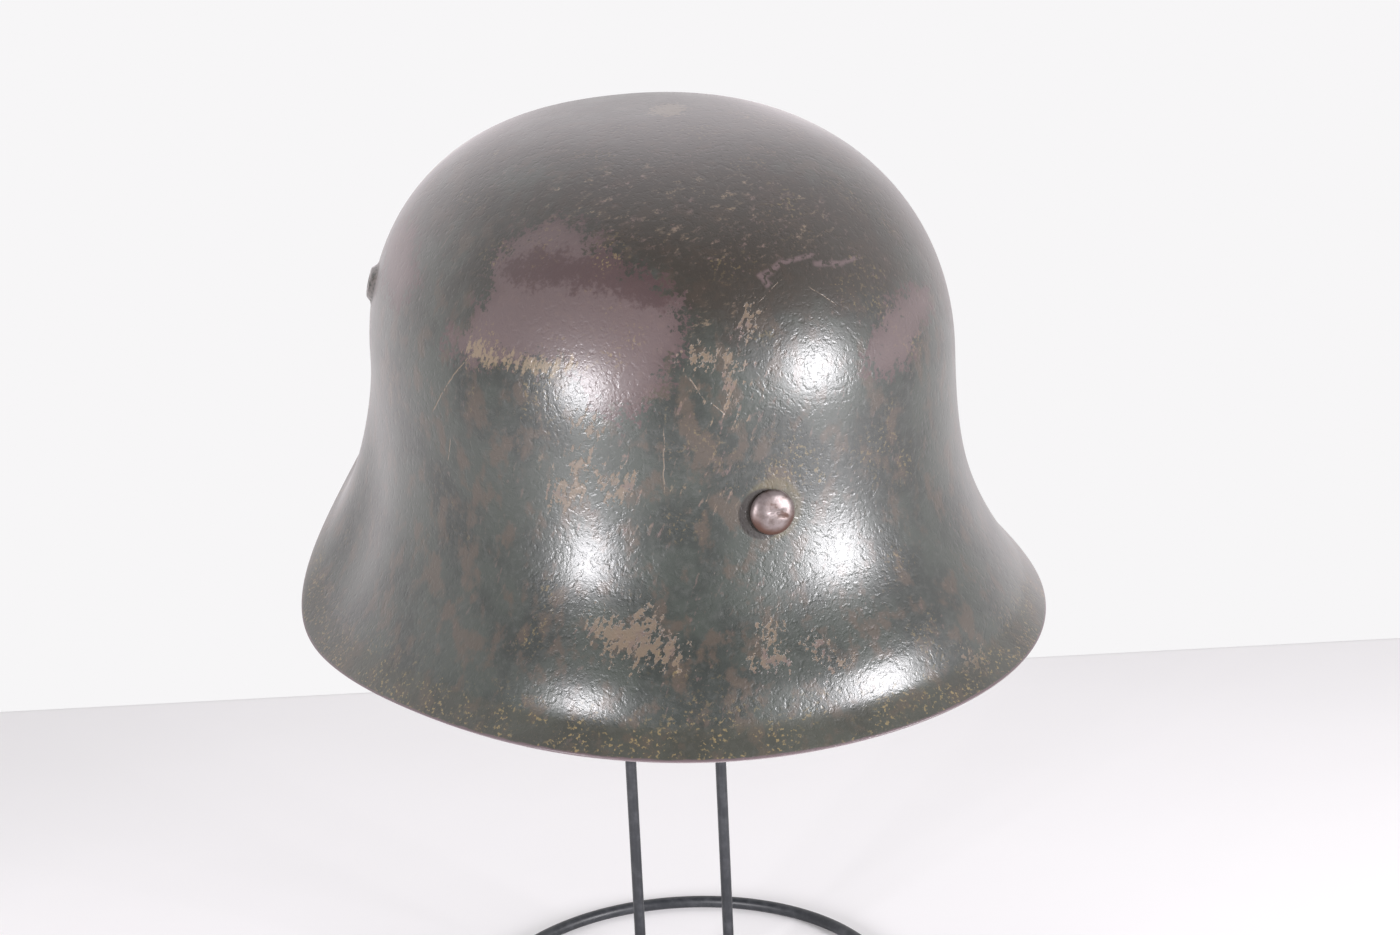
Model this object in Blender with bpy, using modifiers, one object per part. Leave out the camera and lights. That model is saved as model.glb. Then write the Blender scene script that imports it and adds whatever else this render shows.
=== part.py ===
"""Military steel helmet resting on a plain wire stand.

The helmet is one pressed sheet of steel, hollow underneath: a deep crown, upright walls, and a skirt
that flares out to a raw edge, high over the visor and low round the ears and nape. Round the nape the
edge is turned further out in a narrow band. It has an embossed vent hole on each side and three rivets.
The stand is welded wire: a base ring, a foot bar, two uprights, and a top bar with a ring that carries
the crown.

Metres, +Z up. The visor faces -Y, the nape +Y, and the wearer's left is +X. The origin is on the
surface that the stand rests on, midway between the helmet's ends and sides, and the stand stands a
little to one side of it.
"""

import math

import bmesh
import bpy
import numpy as np
from mathutils import Matrix, Vector

# Helmet shell, measured on its outside
SHEET = 0.0012
HALF_WIDTH = 0.0935
FRONT_LENGTH = 0.1058
REAR_LENGTH = 0.1066
CROWN_HEIGHT = 0.0790
WALL_HEIGHT = 0.0848
RIM_REACH = 0.0395
VISOR_LIFT = 0.0363
EDGE_WIDTH = 0.011

# How square the curves are: 2 is an ellipse, and more is boxier
PLAN_POWER = 2.18
CROWN_WIDTH_POWER = 2.58
CROWN_HEIGHT_POWER = 2.09

# Sections of the skirt round one side, the other side being its mirror image.
# angle: degrees round from the front; reach: how far the rim stands out from the wall, as a share of
# RIM_REACH; lift: the rim's height, as a share of VISOR_LIFT; waist: how far down the wall stays
# upright, and lip: how long the skirt runs straight at its end, as shares of the section; slope: degrees
# that the skirt's end points below level; turn: degrees that the edge band is turned out from that.
SECTION_COLUMNS = ("angle", "reach", "lift", "waist", "lip", "slope", "turn")
SECTIONS = (
    (0, 0.855, 1.00, 0.50, 0.33, 30, 0),
    (28, 0.70, 1.06, 0.47, 0.33, 33, 0),
    (50, 0.255, 1.235, 0.50, 0.33, 45, 0),
    (66, 0.585, 0.52, 0.275, 0.32, 55, 0),
    (82, 0.77, 0.06, 0.41, 0.33, 46, 0),
    (100, 0.735, -0.03, 0.465, 0.32, 53, 3),
    (125, 0.735, 0.02, 0.63, 0.33, 59, 11),
    (152, 0.855, -0.015, 0.71, 0.31, 76, 37),
    (180, 0.795, -0.13, 0.74, 0.27, 77, 27),
)

# Vents
VENT_ANGLE = 70
VENT_HEIGHT = 0.109
VENT_RADIUS = 0.0070
VENT_TOP_RADIUS = 0.0042
VENT_RISE = 0.0020
VENT_HOLE_RADIUS = 0.0024

# Rivets
RIVET_HEAD_RADIUS = 0.0069
RIVET_HEAD_RISE = 0.0034
RIVET_SHANK_RADIUS = 0.0025
RIVET_CLINCH_RADIUS = 0.0052
RIVET_CLINCH_THICKNESS = 0.0012
REAR_RIVET_HEIGHT = 0.0612
FRONT_RIVET_ANGLE = 52
FRONT_RIVET_HEIGHT = 0.0780

# Wire stand
STAND_HEIGHT = 0.3184
RING_WIRE_RADIUS = 0.0022
BAR_WIRE_RADIUS = 0.00205
UPRIGHT_WIRE_RADIUS = 0.0019
BASE_RING_RADIUS = 0.073
TOP_RING_RADIUS = 0.036
UPRIGHT_SPACING = 0.0325
STAND_SIDE_SHIFT = 0.0010

# Clearances between separate pieces
GAP = 0.0003
FACET_SAG = 0.0002

# Fineness of the meshes
SIDE_STEPS = 30
CROWN_STEPS = 11
SKIRT_STEPS = 10
EDGE_STEPS = 2
ROUND_SIDES = 16
WIRE_SIDES = 10
BASE_RING_STEPS = 48
TOP_RING_STEPS = 36


def column(name):
    """One column of the section table."""
    place = SECTION_COLUMNS.index(name)
    return np.array([row[place] for row in SECTIONS], float)


def around(name, angle):
    """A column's value at any angle in radians: a closed cubic spline, the same on both sides."""
    half = np.radians(column("angle"))
    knots = np.concatenate([half, 2 * math.pi - half[-2:0:-1]])
    values = column(name)
    values = np.concatenate([values, values[-2:0:-1]])
    ahead = (np.roll(knots, -1) - knots) % (2 * math.pi)
    behind = np.roll(ahead, 1)
    slopes = (np.roll(values, -1) - values) / ahead
    matrix = np.diag(2 * (ahead + behind))
    matrix += np.roll(np.diag(ahead), 1, axis=1)
    matrix += np.roll(np.diag(behind), -1, axis=1)
    bends = np.linalg.solve(matrix, 6 * (slopes - np.roll(slopes, 1)))
    turned = np.mod(angle, 2 * math.pi)
    spot = np.searchsorted(knots, turned, side="right") - 1
    after = (spot + 1) % len(knots)
    run = turned - knots[spot]
    first = slopes[spot] - ahead[spot] * (2 * bends[spot] + bends[after]) / 6
    third = (bends[after] - bends[spot]) / (6 * ahead[spot])
    return values[spot] + run * (first + run * (bends[spot] / 2 + run * third))


def plan_radius(angle):
    """The wall's distance from the middle, seen from above: a superellipse, longer at the rear."""
    length = np.where(np.cos(angle) > 0, FRONT_LENGTH, REAR_LENGTH)
    across = np.abs(np.sin(angle) / HALF_WIDTH) ** PLAN_POWER
    along = np.abs(np.cos(angle) / length) ** PLAN_POWER
    return (across + along) ** (-1 / PLAN_POWER)


def shell_points(angle, down):
    """Points of the shell's outside, from the rim's level.

    down runs from 0 to 1 over the crown, to 2 down the skirt and to 3 over the edge band. The crown is a
    superellipse in section. The skirt is a cubic Bezier curve in section, upright where it leaves the
    wall and sloping as the table says at its end, and the edge band is straight.
    """
    angle, down = np.broadcast_arrays(np.asarray(angle, float), np.asarray(down, float))
    wall = plan_radius(angle)
    turn = np.clip(down, 0, 1) * math.pi / 2
    radius = wall * np.sin(turn) ** (2 / CROWN_WIDTH_POWER)
    height = WALL_HEIGHT + CROWN_HEIGHT * np.maximum(np.cos(turn), 0) ** (2 / CROWN_HEIGHT_POWER)
    slope = np.radians(around("slope", angle))
    edge_slope = slope - np.radians(around("turn", angle))
    reach = RIM_REACH * around("reach", angle) - EDGE_WIDTH * np.cos(edge_slope)
    drop = WALL_HEIGHT - VISOR_LIFT * around("lift", angle) - EDGE_WIDTH * np.sin(edge_slope)
    straight = around("lip", angle) * np.hypot(reach, drop)
    share = np.clip(down - 1, 0, 1)
    rest = 1 - share
    second = 3 * share * rest**2
    third = 3 * share**2 * rest
    out = third * (reach - straight * np.cos(slope)) + share**3 * reach
    fall = second * around("waist", angle) * drop + third * (drop - straight * np.sin(slope)) + share**3 * drop
    edge = EDGE_WIDTH * np.clip(down - 2, 0, 1)
    out = out + edge * np.cos(edge_slope)
    fall = fall + edge * np.sin(edge_slope)
    radius = np.where(down > 1, wall + out, radius)
    height = np.where(down > 1, WALL_HEIGHT - fall, height)
    return np.stack([radius * np.sin(angle), -radius * np.cos(angle), height], -1)


def wall_frame(angle_degrees, height):
    """Matrix of a place on the shell's outside, at a height over the rim's level, with +Z pointing out.

    It is turned by half a side of a round piece, so that no corner of one lands on an edge of the shell.
    """
    angle = math.radians(angle_degrees)
    fine = np.linspace(0.3, 2, 800)
    heights = shell_points(angle, fine)[:, 2]
    down = float(np.interp(-height, -heights, fine))
    step = 0.002
    point = Vector(shell_points(angle, down))
    sideways = Vector(shell_points(angle + step, down) - shell_points(angle - step, down)).normalized()
    downwards = Vector(shell_points(angle, down + step) - shell_points(angle, down - step)).normalized()
    outward = downwards.cross(sideways).normalized()
    upright = outward.cross(sideways)
    rotation = Matrix((sideways, upright, outward)).transposed()
    half_side = Matrix.Rotation(math.pi / ROUND_SIDES, 4, "Z")
    return Matrix.Translation(point) @ rotation.to_4x4() @ half_side


def wall_relief(frame, radius):
    """Lowest and highest places of the shell's outside in a frame's +Z, within a radius of the frame."""
    angles = np.linspace(0, 2 * math.pi, 721)[:, None]
    downs = np.linspace(0.3, 2, 341)[None, :]
    points = shell_points(angles, downs).reshape(-1, 3)
    inverse = np.array(frame.inverted())
    local = points @ inverse[:3, :3].T + inverse[:3, 3]
    near = (np.hypot(local[:, 0], local[:, 1]) < radius) & (np.abs(local[:, 2]) < radius)
    return float(local[near, 2].min()), float(local[near, 2].max())


def seat_height(centre):
    """Height of the top ring's axis over the rim's level where its wire comes within GAP of the crown."""
    angles = np.linspace(0, 2 * math.pi, 8 * SIDE_STEPS + 1)[:-1, None]
    downs = np.linspace(0.02, 1, 160)[None, :]
    points = shell_points(angles, downs).reshape(-1, 3)
    offset = SHEET + GAP + FACET_SAG + RING_WIRE_RADIUS
    from_centre = np.hypot(points[:, 0] - centre[0], points[:, 1] - centre[1])
    sideways = np.abs(from_centre - TOP_RING_RADIUS)
    near = sideways < offset
    return float((points[near, 2] - np.sqrt(offset**2 - sideways[near] ** 2)).min())


def new_collection(name, parent=None):
    """An empty collection in the scene, or inside another collection."""
    collection = bpy.data.collections.new(name)
    holder = parent or bpy.context.scene.collection
    holder.children.link(collection)
    return collection


def new_object(name, bm, collection, parent=None, matrix=None):
    """An object from a bmesh, placed under its parent."""
    mesh = bpy.data.meshes.new(name)
    bm.to_mesh(mesh)
    bm.free()
    obj = bpy.data.objects.new(name, mesh)
    collection.objects.link(obj)
    obj.parent = parent
    if matrix is not None:
        obj.matrix_local = matrix
    return obj


def as_cutter(obj):
    """Marks an object as one that only shapes another."""
    obj.hide_render = True
    obj.display_type = "WIRE"
    return obj


def turned(name, profile, steps, collection, parent=None, matrix=None, closed=False):
    """A turned solid: a profile of radius and height, from the top down its outer side, round +Z."""
    bm = bmesh.new()
    verts = [bm.verts.new((radius, 0, height)) for radius, height in profile]
    pairs = list(zip(verts, verts[1:]))
    if closed:
        pairs.append((verts[-1], verts[0]))
    for pair in pairs:
        bm.edges.new(pair)
    obj = new_object(name, bm, collection, parent, matrix)
    screw = obj.modifiers.new("turn", "SCREW")
    screw.steps = steps
    screw.render_steps = steps
    screw.use_merge_vertices = True
    screw.merge_threshold = 0.00001
    return obj


def boolean(obj, others, operation):
    """Joins every object of a collection to this one, or cuts them away."""
    modifier = obj.modifiers.new(others.name, "BOOLEAN")
    modifier.operation = operation
    modifier.solver = "EXACT"
    modifier.operand_type = "COLLECTION"
    modifier.collection = others


def finish(obj, colour, roughness, metallic):
    """The object's own material."""
    material = bpy.data.materials.new(obj.name)
    material.use_nodes = True
    shader = material.node_tree.nodes["Principled BSDF"]
    shader.inputs["Base Color"].default_value = (*colour, 1)
    shader.inputs["Roughness"].default_value = roughness
    shader.inputs["Metallic"].default_value = metallic
    obj.data.materials.append(material)


def half_shell():
    """One side of the shell's outer surface, open at the middle plane and at the rim."""
    angles = np.linspace(0, math.pi, SIDE_STEPS + 1)[None, :]
    downs = np.concatenate([
        np.linspace(0, 1, CROWN_STEPS + 1)[1:],
        np.linspace(1, 2, SKIRT_STEPS + 1)[1:],
        np.linspace(2, 3, EDGE_STEPS + 1)[1:],
    ])[:, None]
    points = shell_points(angles, downs)
    bm = bmesh.new()
    top = bm.verts.new(shell_points(0, 0))
    rows = [[bm.verts.new(point) for point in row] for row in points]
    for left, right in zip(rows[0], rows[0][1:]):
        bm.faces.new((top, left, right))
    for upper, lower in zip(rows, rows[1:]):
        for place in range(SIDE_STEPS):
            bm.faces.new((upper[place], lower[place], lower[place + 1], upper[place + 1]))
    return bm


def vent_emboss(name, frame, collection, parent):
    """The raised boss of a vent, from inside the sheet's thickness up to its flat top."""
    profile = (
        (0, VENT_RISE),
        (VENT_TOP_RADIUS, VENT_RISE),
        (VENT_TOP_RADIUS + 0.35 * (VENT_RADIUS - VENT_TOP_RADIUS), 0.82 * VENT_RISE),
        (VENT_RADIUS, -0.6 * SHEET),
        (0, -0.6 * SHEET),
    )
    return as_cutter(turned(name, profile, ROUND_SIDES, collection, parent, frame))


def vent_bore(name, frame, collection, parent):
    """The vent's hole, with the hollow that the boss leaves behind it on the inside."""
    profile = (
        (0, 4 * VENT_RISE),
        (VENT_HOLE_RADIUS, 4 * VENT_RISE),
        (VENT_HOLE_RADIUS, VENT_RISE - SHEET),
        (VENT_TOP_RADIUS - 0.2 * SHEET, VENT_RISE - SHEET),
        (VENT_RADIUS - SHEET, -SHEET),
        (VENT_RADIUS - SHEET, -4 * SHEET),
        (0, -4 * SHEET),
    )
    return as_cutter(turned(name, profile, ROUND_SIDES, collection, parent, frame))


def rivet_bore(name, frame, collection, parent):
    """The hole in the sheet that a rivet's shank passes through."""
    radius = RIVET_SHANK_RADIUS + GAP
    profile = ((0, 4 * SHEET), (radius, 4 * SHEET), (radius, -5 * SHEET), (0, -5 * SHEET))
    return as_cutter(turned(name, profile, ROUND_SIDES, collection, parent, frame))


def rivet(name, frame, collection, parent):
    """A rivet: domed head over the sheet, shank through it and clinched end inside, all one piece."""
    low, high = wall_relief(frame, RIVET_HEAD_RADIUS)
    under_head = high + GAP + FACET_SAG
    over_clinch = low - SHEET - GAP - FACET_SAG
    dome = []
    for step in range(6):
        turn = step / 6 * math.pi / 2
        across = RIVET_HEAD_RADIUS * math.sin(turn) ** 0.8
        dome.append((across, under_head + RIVET_HEAD_RISE * (0.28 + 0.72 * math.cos(turn))))
    profile = (
        *dome,
        (RIVET_HEAD_RADIUS, under_head + 0.28 * RIVET_HEAD_RISE),
        (RIVET_HEAD_RADIUS, under_head),
        (RIVET_SHANK_RADIUS, under_head),
        (RIVET_SHANK_RADIUS, over_clinch),
        (RIVET_CLINCH_RADIUS, over_clinch),
        (RIVET_CLINCH_RADIUS, over_clinch - 0.6 * RIVET_CLINCH_THICKNESS),
        (0.8 * RIVET_CLINCH_RADIUS, over_clinch - RIVET_CLINCH_THICKNESS),
        (0, over_clinch - RIVET_CLINCH_THICKNESS),
    )
    obj = turned(name, profile, ROUND_SIDES, collection, parent, frame)
    finish(obj, (0.22, 0.17, 0.17), 0.38, 1.0)
    return obj


def wire_ring(name, ring_radius, height, steps, collection, parent):
    """A level ring of round wire, with a flat facet all round underneath."""
    profile = []
    for side in range(WIRE_SIDES):
        turn = -math.pi / 2 + (0.5 - side) * 2 * math.pi / WIRE_SIDES
        profile.append((
            ring_radius + RING_WIRE_RADIUS * math.cos(turn),
            height + RING_WIRE_RADIUS * math.sin(turn),
        ))
    return turned(name, profile, steps, collection, parent, closed=True)


def wire_rod(name, start, end, radius, collection, parent):
    """A straight rod of round wire between two points."""
    along = Vector(end) - Vector(start)
    middle = Matrix.Translation((Vector(end) + Vector(start)) / 2)
    bm = bmesh.new()
    bmesh.ops.create_cone(
        bm,
        cap_ends=True,
        segments=WIRE_SIDES,
        radius1=radius,
        radius2=radius,
        depth=along.length,
        matrix=middle @ along.to_track_quat("Z", "Y").to_matrix().to_4x4(),
    )
    return as_cutter(new_object(name, bm, collection, parent))


def build_helmet(parts, cutters, helmet):
    """The shell with its vents and rivet holes, and the three rivets."""
    shell = new_object("helmet_shell", half_shell(), parts, helmet)
    mirror = shell.modifiers.new("other_side", "MIRROR")
    mirror.merge_threshold = 0.00001
    wall = shell.modifiers.new("sheet", "SOLIDIFY")
    wall.thickness = SHEET
    wall.offset = -1
    wall.use_even_offset = True
    shell.modifiers.new("flat_faces", "TRIANGULATE")
    finish(shell, (0.05, 0.055, 0.045), 0.42, 0.0)

    bosses = new_collection("vent_bosses", cutters)
    bores = new_collection("shell_bores", cutters)
    for side, sign in (("left", 1), ("right", -1)):
        frame = wall_frame(sign * VENT_ANGLE, VENT_HEIGHT)
        vent_emboss(f"vent_emboss_{side}", frame, bosses, helmet)
        vent_bore(f"vent_bore_{side}", frame, bores, helmet)

    places = {
        "rivet_rear": (180, REAR_RIVET_HEIGHT),
        "rivet_front_left": (FRONT_RIVET_ANGLE, FRONT_RIVET_HEIGHT),
        "rivet_front_right": (-FRONT_RIVET_ANGLE, FRONT_RIVET_HEIGHT),
    }
    for name, (angle, height) in places.items():
        frame = wall_frame(angle, height)
        rivet_bore(f"{name}_bore", frame, bores, helmet)
        rivet(name, frame, parts, helmet)
    boolean(shell, bosses, "UNION")
    boolean(shell, bores, "DIFFERENCE")


def build_stand(parts, cutters, stand_axis):
    """The welded wire stand, one solid."""
    base_height = RING_WIRE_RADIUS * math.cos(math.pi / WIRE_SIDES)
    top_height = STAND_HEIGHT - RING_WIRE_RADIUS
    stand = wire_ring("wire_stand", BASE_RING_RADIUS, base_height, BASE_RING_STEPS, parts, stand_axis)
    wires = new_collection("stand_wires", cutters)
    foot_ends = [(sign * BASE_RING_RADIUS, 0, base_height) for sign in (-1, 1)]
    wire_rod("foot_bar", *foot_ends, BAR_WIRE_RADIUS, wires, stand_axis)
    for side, sign in (("left", 1), ("right", -1)):
        across = sign * UPRIGHT_SPACING / 2
        ends = [(across, 0, height) for height in (base_height, top_height)]
        wire_rod(f"upright_{side}", *ends, UPRIGHT_WIRE_RADIUS, wires, stand_axis)
    top_ends = [(sign * TOP_RING_RADIUS, 0, top_height) for sign in (-1, 1)]
    wire_rod("top_bar", *top_ends, BAR_WIRE_RADIUS, wires, stand_axis)
    as_cutter(wire_ring("top_ring", TOP_RING_RADIUS, top_height, TOP_RING_STEPS, wires, stand_axis))
    boolean(stand, wires, "UNION")
    finish(stand, (0.012, 0.012, 0.014), 0.45, 0.0)
    return top_height


def main():
    for obj in list(bpy.data.objects):
        bpy.data.objects.remove(obj)
    parts = new_collection("steel_helmet_on_stand")
    cutters = new_collection("cutters")

    stand_axis = bpy.data.objects.new("stand_axis", None)
    parts.objects.link(stand_axis)
    stand_axis.location = (STAND_SIDE_SHIFT, 0, 0)
    top_height = build_stand(parts, cutters, stand_axis)

    helmet = bpy.data.objects.new("helmet", None)
    parts.objects.link(helmet)
    # The front and rear of the rim overhang the stand's middle by the same length.
    rim = shell_points(np.radians(np.arange(360)), 3)
    back = (rim[:, 1].min() + rim[:, 1].max()) / 2
    helmet.location = (0, -back, top_height - seat_height((STAND_SIDE_SHIFT, back)))
    build_helmet(parts, cutters, helmet)


main()
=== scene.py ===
"""Looks of a worn military steel helmet resting on a plain welded wire stand.

The helmet is one pressed steel shell, painted field green over a mauve primer, with two embossed vents
and three rivets. Metres, +Z up: the visor faces -Y, the nape +Y, and the wearer's left is +X.
"""

import logging
import math
from dataclasses import dataclass, field
from enum import Enum
from typing import Any

import bpy
import numpy as np
from mathutils import Matrix, Vector


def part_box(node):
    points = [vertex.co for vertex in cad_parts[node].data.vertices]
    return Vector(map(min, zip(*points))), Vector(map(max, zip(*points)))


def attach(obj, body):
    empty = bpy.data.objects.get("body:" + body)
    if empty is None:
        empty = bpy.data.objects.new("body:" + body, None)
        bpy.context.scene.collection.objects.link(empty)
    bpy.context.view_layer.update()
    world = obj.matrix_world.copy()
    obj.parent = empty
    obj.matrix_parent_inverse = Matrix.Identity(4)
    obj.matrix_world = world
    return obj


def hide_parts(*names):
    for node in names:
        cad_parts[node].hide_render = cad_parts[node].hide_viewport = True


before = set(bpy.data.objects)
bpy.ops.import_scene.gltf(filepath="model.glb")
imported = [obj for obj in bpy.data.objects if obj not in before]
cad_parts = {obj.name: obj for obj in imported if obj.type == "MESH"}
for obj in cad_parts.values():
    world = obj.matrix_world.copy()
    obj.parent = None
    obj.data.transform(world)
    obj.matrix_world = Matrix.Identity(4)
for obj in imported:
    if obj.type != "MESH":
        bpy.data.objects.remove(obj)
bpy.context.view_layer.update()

log = logging.getLogger("steel_helmet")

MM = 0.001
BODY = "root"


def linear(hex_colour: str) -> tuple[float, float, float, float]:
    """Linear colour with alpha 1 of an sRGB hex string such as "#3a4038".

    Args:
        hex_colour: six hex digits after a hash sign.

    Returns:
        Red, green, blue and alpha, as a shader socket takes them.
    """
    levels = np.array([int(hex_colour[place:place + 2], 16) for place in (1, 3, 5)]) / 255
    curve = np.where(levels <= 0.04045, levels / 12.92, ((levels + 0.055) / 1.055) ** 2.4)
    return (*curve.tolist(), 1.0)


def per_metre(size_mm: float) -> float:
    """Scale of a pattern whose features are this many millimetres apart, on coordinates in metres."""
    return 1 / (size_mm * MM)


def round_angles(sides: int) -> np.ndarray:
    """Angles of a circle's even corners, in radians."""
    return np.arange(sides) / sides * 2 * math.pi


def add_node(tree: bpy.types.NodeTree, kind: str, inputs: dict | None = None,
             **settings: Any) -> bpy.types.Node:
    """Adds a node to a tree.

    Args:
        tree: the node tree.
        kind: the node's type without its ShaderNode prefix.
        inputs: value or linked output of each input, by its name or its place.
        settings: the node's own settings.

    Returns:
        The new node.
    """
    made = tree.nodes.new(f"ShaderNode{kind}")
    for name, value in settings.items():
        setattr(made, name, value)
    for key, value in (inputs or {}).items():
        if isinstance(value, bpy.types.NodeSocket):
            tree.links.new(value, made.inputs[key])
        else:
            made.inputs[key].default_value = value
    return made


def new_material(name: str) -> tuple[bpy.types.Material, bpy.types.NodeTree, bpy.types.Node]:
    """An empty node material.

    Args:
        name: the material's name.

    Returns:
        The material, its tree and its Principled shader, which is joined to the output.
    """
    material = bpy.data.materials.new(name)
    material.use_nodes = True
    tree = material.node_tree
    return material, tree, tree.nodes["Principled BSDF"]


def noise_bump(tree: bpy.types.NodeTree, shader: bpy.types.Node, scale: float, detail: float,
               height: float, strength: float = 1.0) -> None:
    """Bumps a surface with noise on the object's own coordinates.

    Args:
        tree: the material's tree.
        shader: the material's shader.
        scale: lumps per metre.
        detail: how many finer layers the noise has.
        height: the bumps' height in metres.
        strength: how much of it shows.
    """
    where = add_node(tree, "TexCoord").outputs["Object"]
    lumps = add_node(tree, "TexNoise", {"Vector": where, "Scale": scale, "Detail": detail}).outputs["Fac"]
    bump = add_node(tree, "Bump", {"Height": lumps, "Strength": strength, "Distance": height})
    tree.links.new(bump.outputs[0], shader.inputs["Normal"])


def smooth_share(value: np.ndarray) -> np.ndarray:
    """A share from 0 to 1 eased at both ends: three of its square less two of its cube."""
    share = np.clip(value, 0, 1)
    return share * share * (3 - 2 * share)


def unit(vectors: np.ndarray) -> np.ndarray:
    """Vectors divided by their lengths."""
    return vectors / np.maximum(np.linalg.norm(vectors, axis=-1, keepdims=True), 1e-12)


def mesh_object(name: str, points: np.ndarray, faces: list,
                sharp_degrees: float | None = None) -> bpy.types.Object:
    """An object at the origin whose place is in its mesh.

    Args:
        name: the object's name.
        points: one row of coordinates for each vertex.
        faces: the vertex numbers of each face.
        sharp_degrees: faces that meet at more than this keep a crisp edge; the rest is smooth.

    Returns:
        The object, linked to the scene.
    """
    mesh = bpy.data.meshes.new(name)
    mesh.from_pydata(points.tolist(), [], faces)
    mesh.validate()
    piece = bpy.data.objects.new(name, mesh)
    bpy.context.scene.collection.objects.link(piece)
    if sharp_degrees is not None:
        shade(piece, sharp_degrees)
    return piece


def shade(piece: bpy.types.Object, sharp_degrees: float) -> None:
    """Shades a piece smooth, with crisp edges where its faces meet at more than an angle."""
    piece.data.shade_smooth()
    piece.data.set_sharp_from_angle(angle=math.radians(sharp_degrees))


def tube_faces(rows: int, columns: int, closed_rows: bool = False) -> list:
    """Faces of a grid that is closed across its columns.

    Vertex (row, column) has the number row times columns plus column. The rows run down and the columns
    run round so that the faces point out. One more vertex closes each open end, the first end's before
    the last end's.

    Args:
        rows: number of rows.
        columns: number of columns, each joined to the next and the last to the first.
        closed_rows: whether the last row joins the first, which leaves no open end.

    Returns:
        The faces as lists of vertex numbers.
    """
    numbers = np.arange(rows * columns).reshape(rows, columns)
    upper = numbers if closed_rows else numbers[:-1]
    lower = np.roll(numbers, -1, axis=0) if closed_rows else numbers[1:]
    quads = np.stack([upper, lower, np.roll(lower, -1, axis=1), np.roll(upper, -1, axis=1)], -1)
    faces = quads.reshape(-1, 4).tolist()
    if not closed_rows:
        first, last = rows * columns, rows * columns + 1
        top, bottom = numbers[0], numbers[-1]
        faces += [[first, left, right] for left, right in zip(top.tolist(), np.roll(top, -1).tolist())]
        faces += [[last, right, left] for left, right in zip(bottom.tolist(), np.roll(bottom, -1).tolist())]
    return faces


def boolean(piece: bpy.types.Object, others: list[bpy.types.Object], operation: str) -> None:
    """Joins closed objects to a closed piece, or cuts them from it, one by one, and removes them.

    Args:
        piece: the object that is changed.
        others: the objects that are joined or cut away.
        operation: UNION or DIFFERENCE.
    """
    for other in others:
        modifier = piece.modifiers.new(operation, "BOOLEAN")
        modifier.operation = operation
        modifier.solver = "MANIFOLD"
        modifier.object = other
        with bpy.context.temp_override(object=piece, active_object=piece):
            bpy.ops.object.modifier_apply(modifier=modifier.name)
        bpy.data.objects.remove(other)


def hand_in(piece: bpy.types.Object, node: str, material: bpy.types.Material) -> None:
    """Gives a finished piece its material, slot and body, and hides the CAD node that it stands for.

    Args:
        piece: the finished piece.
        node: the CAD node that it replaces.
        material: its material.
    """
    piece.data.materials.clear()
    piece.data.materials.append(material)
    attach(piece, BODY)
    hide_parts(node)
    log.info("%s: %d faces, in place of %s", piece.name, len(piece.data.polygons), node)


# Sections of the skirt round one side, the other side being its mirror image.
# angle: degrees round from the front; reach: how far the rim stands out from the wall, as a share of
# rim_reach; lift: the rim's height, as a share of visor_lift; waist: how far down the wall stays
# upright, and lip: how long the skirt runs straight at its end, as shares of the section; slope: degrees
# that the skirt's end points below level; turn: degrees that the edge band is turned out from that.
SECTION_COLUMNS = ("angle", "reach", "lift", "waist", "lip", "slope", "turn")
SECTIONS = (
    (0, 0.855, 1.00, 0.50, 0.33, 30, 0),
    (28, 0.70, 1.06, 0.47, 0.33, 33, 0),
    (50, 0.255, 1.235, 0.50, 0.33, 45, 0),
    (66, 0.585, 0.52, 0.275, 0.32, 55, 0),
    (82, 0.77, 0.06, 0.41, 0.33, 46, 0),
    (100, 0.735, -0.03, 0.465, 0.32, 53, 3),
    (125, 0.735, 0.02, 0.63, 0.33, 59, 11),
    (152, 0.855, -0.015, 0.71, 0.31, 76, 37),
    (180, 0.795, -0.13, 0.74, 0.27, 77, 27),
)


def around(name: str, angle: np.ndarray) -> np.ndarray:
    """A section value at any angle: a closed cubic spline through the table, the same on both sides.

    Args:
        name: the table's column.
        angle: angles in radians round from the front.

    Returns:
        The column's value at each angle.
    """
    table = np.array(SECTIONS, float)
    half = np.radians(table[:, 0])
    values = table[:, SECTION_COLUMNS.index(name)]
    knots = np.concatenate([half, 2 * math.pi - half[-2:0:-1]])
    values = np.concatenate([values, values[-2:0:-1]])
    ahead = (np.roll(knots, -1) - knots) % (2 * math.pi)
    behind = np.roll(ahead, 1)
    slopes = (np.roll(values, -1) - values) / ahead
    matrix = np.diag(2 * (ahead + behind))
    matrix += np.roll(np.diag(ahead), 1, axis=1)
    matrix += np.roll(np.diag(behind), -1, axis=1)
    bends = np.linalg.solve(matrix, 6 * (slopes - np.roll(slopes, 1)))
    turned = np.mod(angle, 2 * math.pi)
    spot = np.searchsorted(knots, turned, side="right") - 1
    after = (spot + 1) % len(knots)
    run = turned - knots[spot]
    first = slopes[spot] - ahead[spot] * (2 * bends[spot] + bends[after]) / 6
    third = (bends[after] - bends[spot]) / (6 * ahead[spot])
    return values[spot] + run * (first + run * (bends[spot] / 2 + run * third))


@dataclass(frozen=True)
class WallPlace:
    """A place on the shell's outside, with the directions to the right, up and out as seen from there."""

    point: np.ndarray
    right: np.ndarray
    up: np.ndarray
    out: np.ndarray

    def local(self, points: np.ndarray) -> np.ndarray:
        """Coordinates of points to the right, up and out from this place, in metres."""
        return (points - self.point) @ np.stack([self.right, self.up, self.out], -1)

    def world(self, local: np.ndarray) -> np.ndarray:
        """Points in the row frame of coordinates to the right, up and out from this place."""
        return self.point + local @ np.stack([self.right, self.up, self.out])


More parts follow.
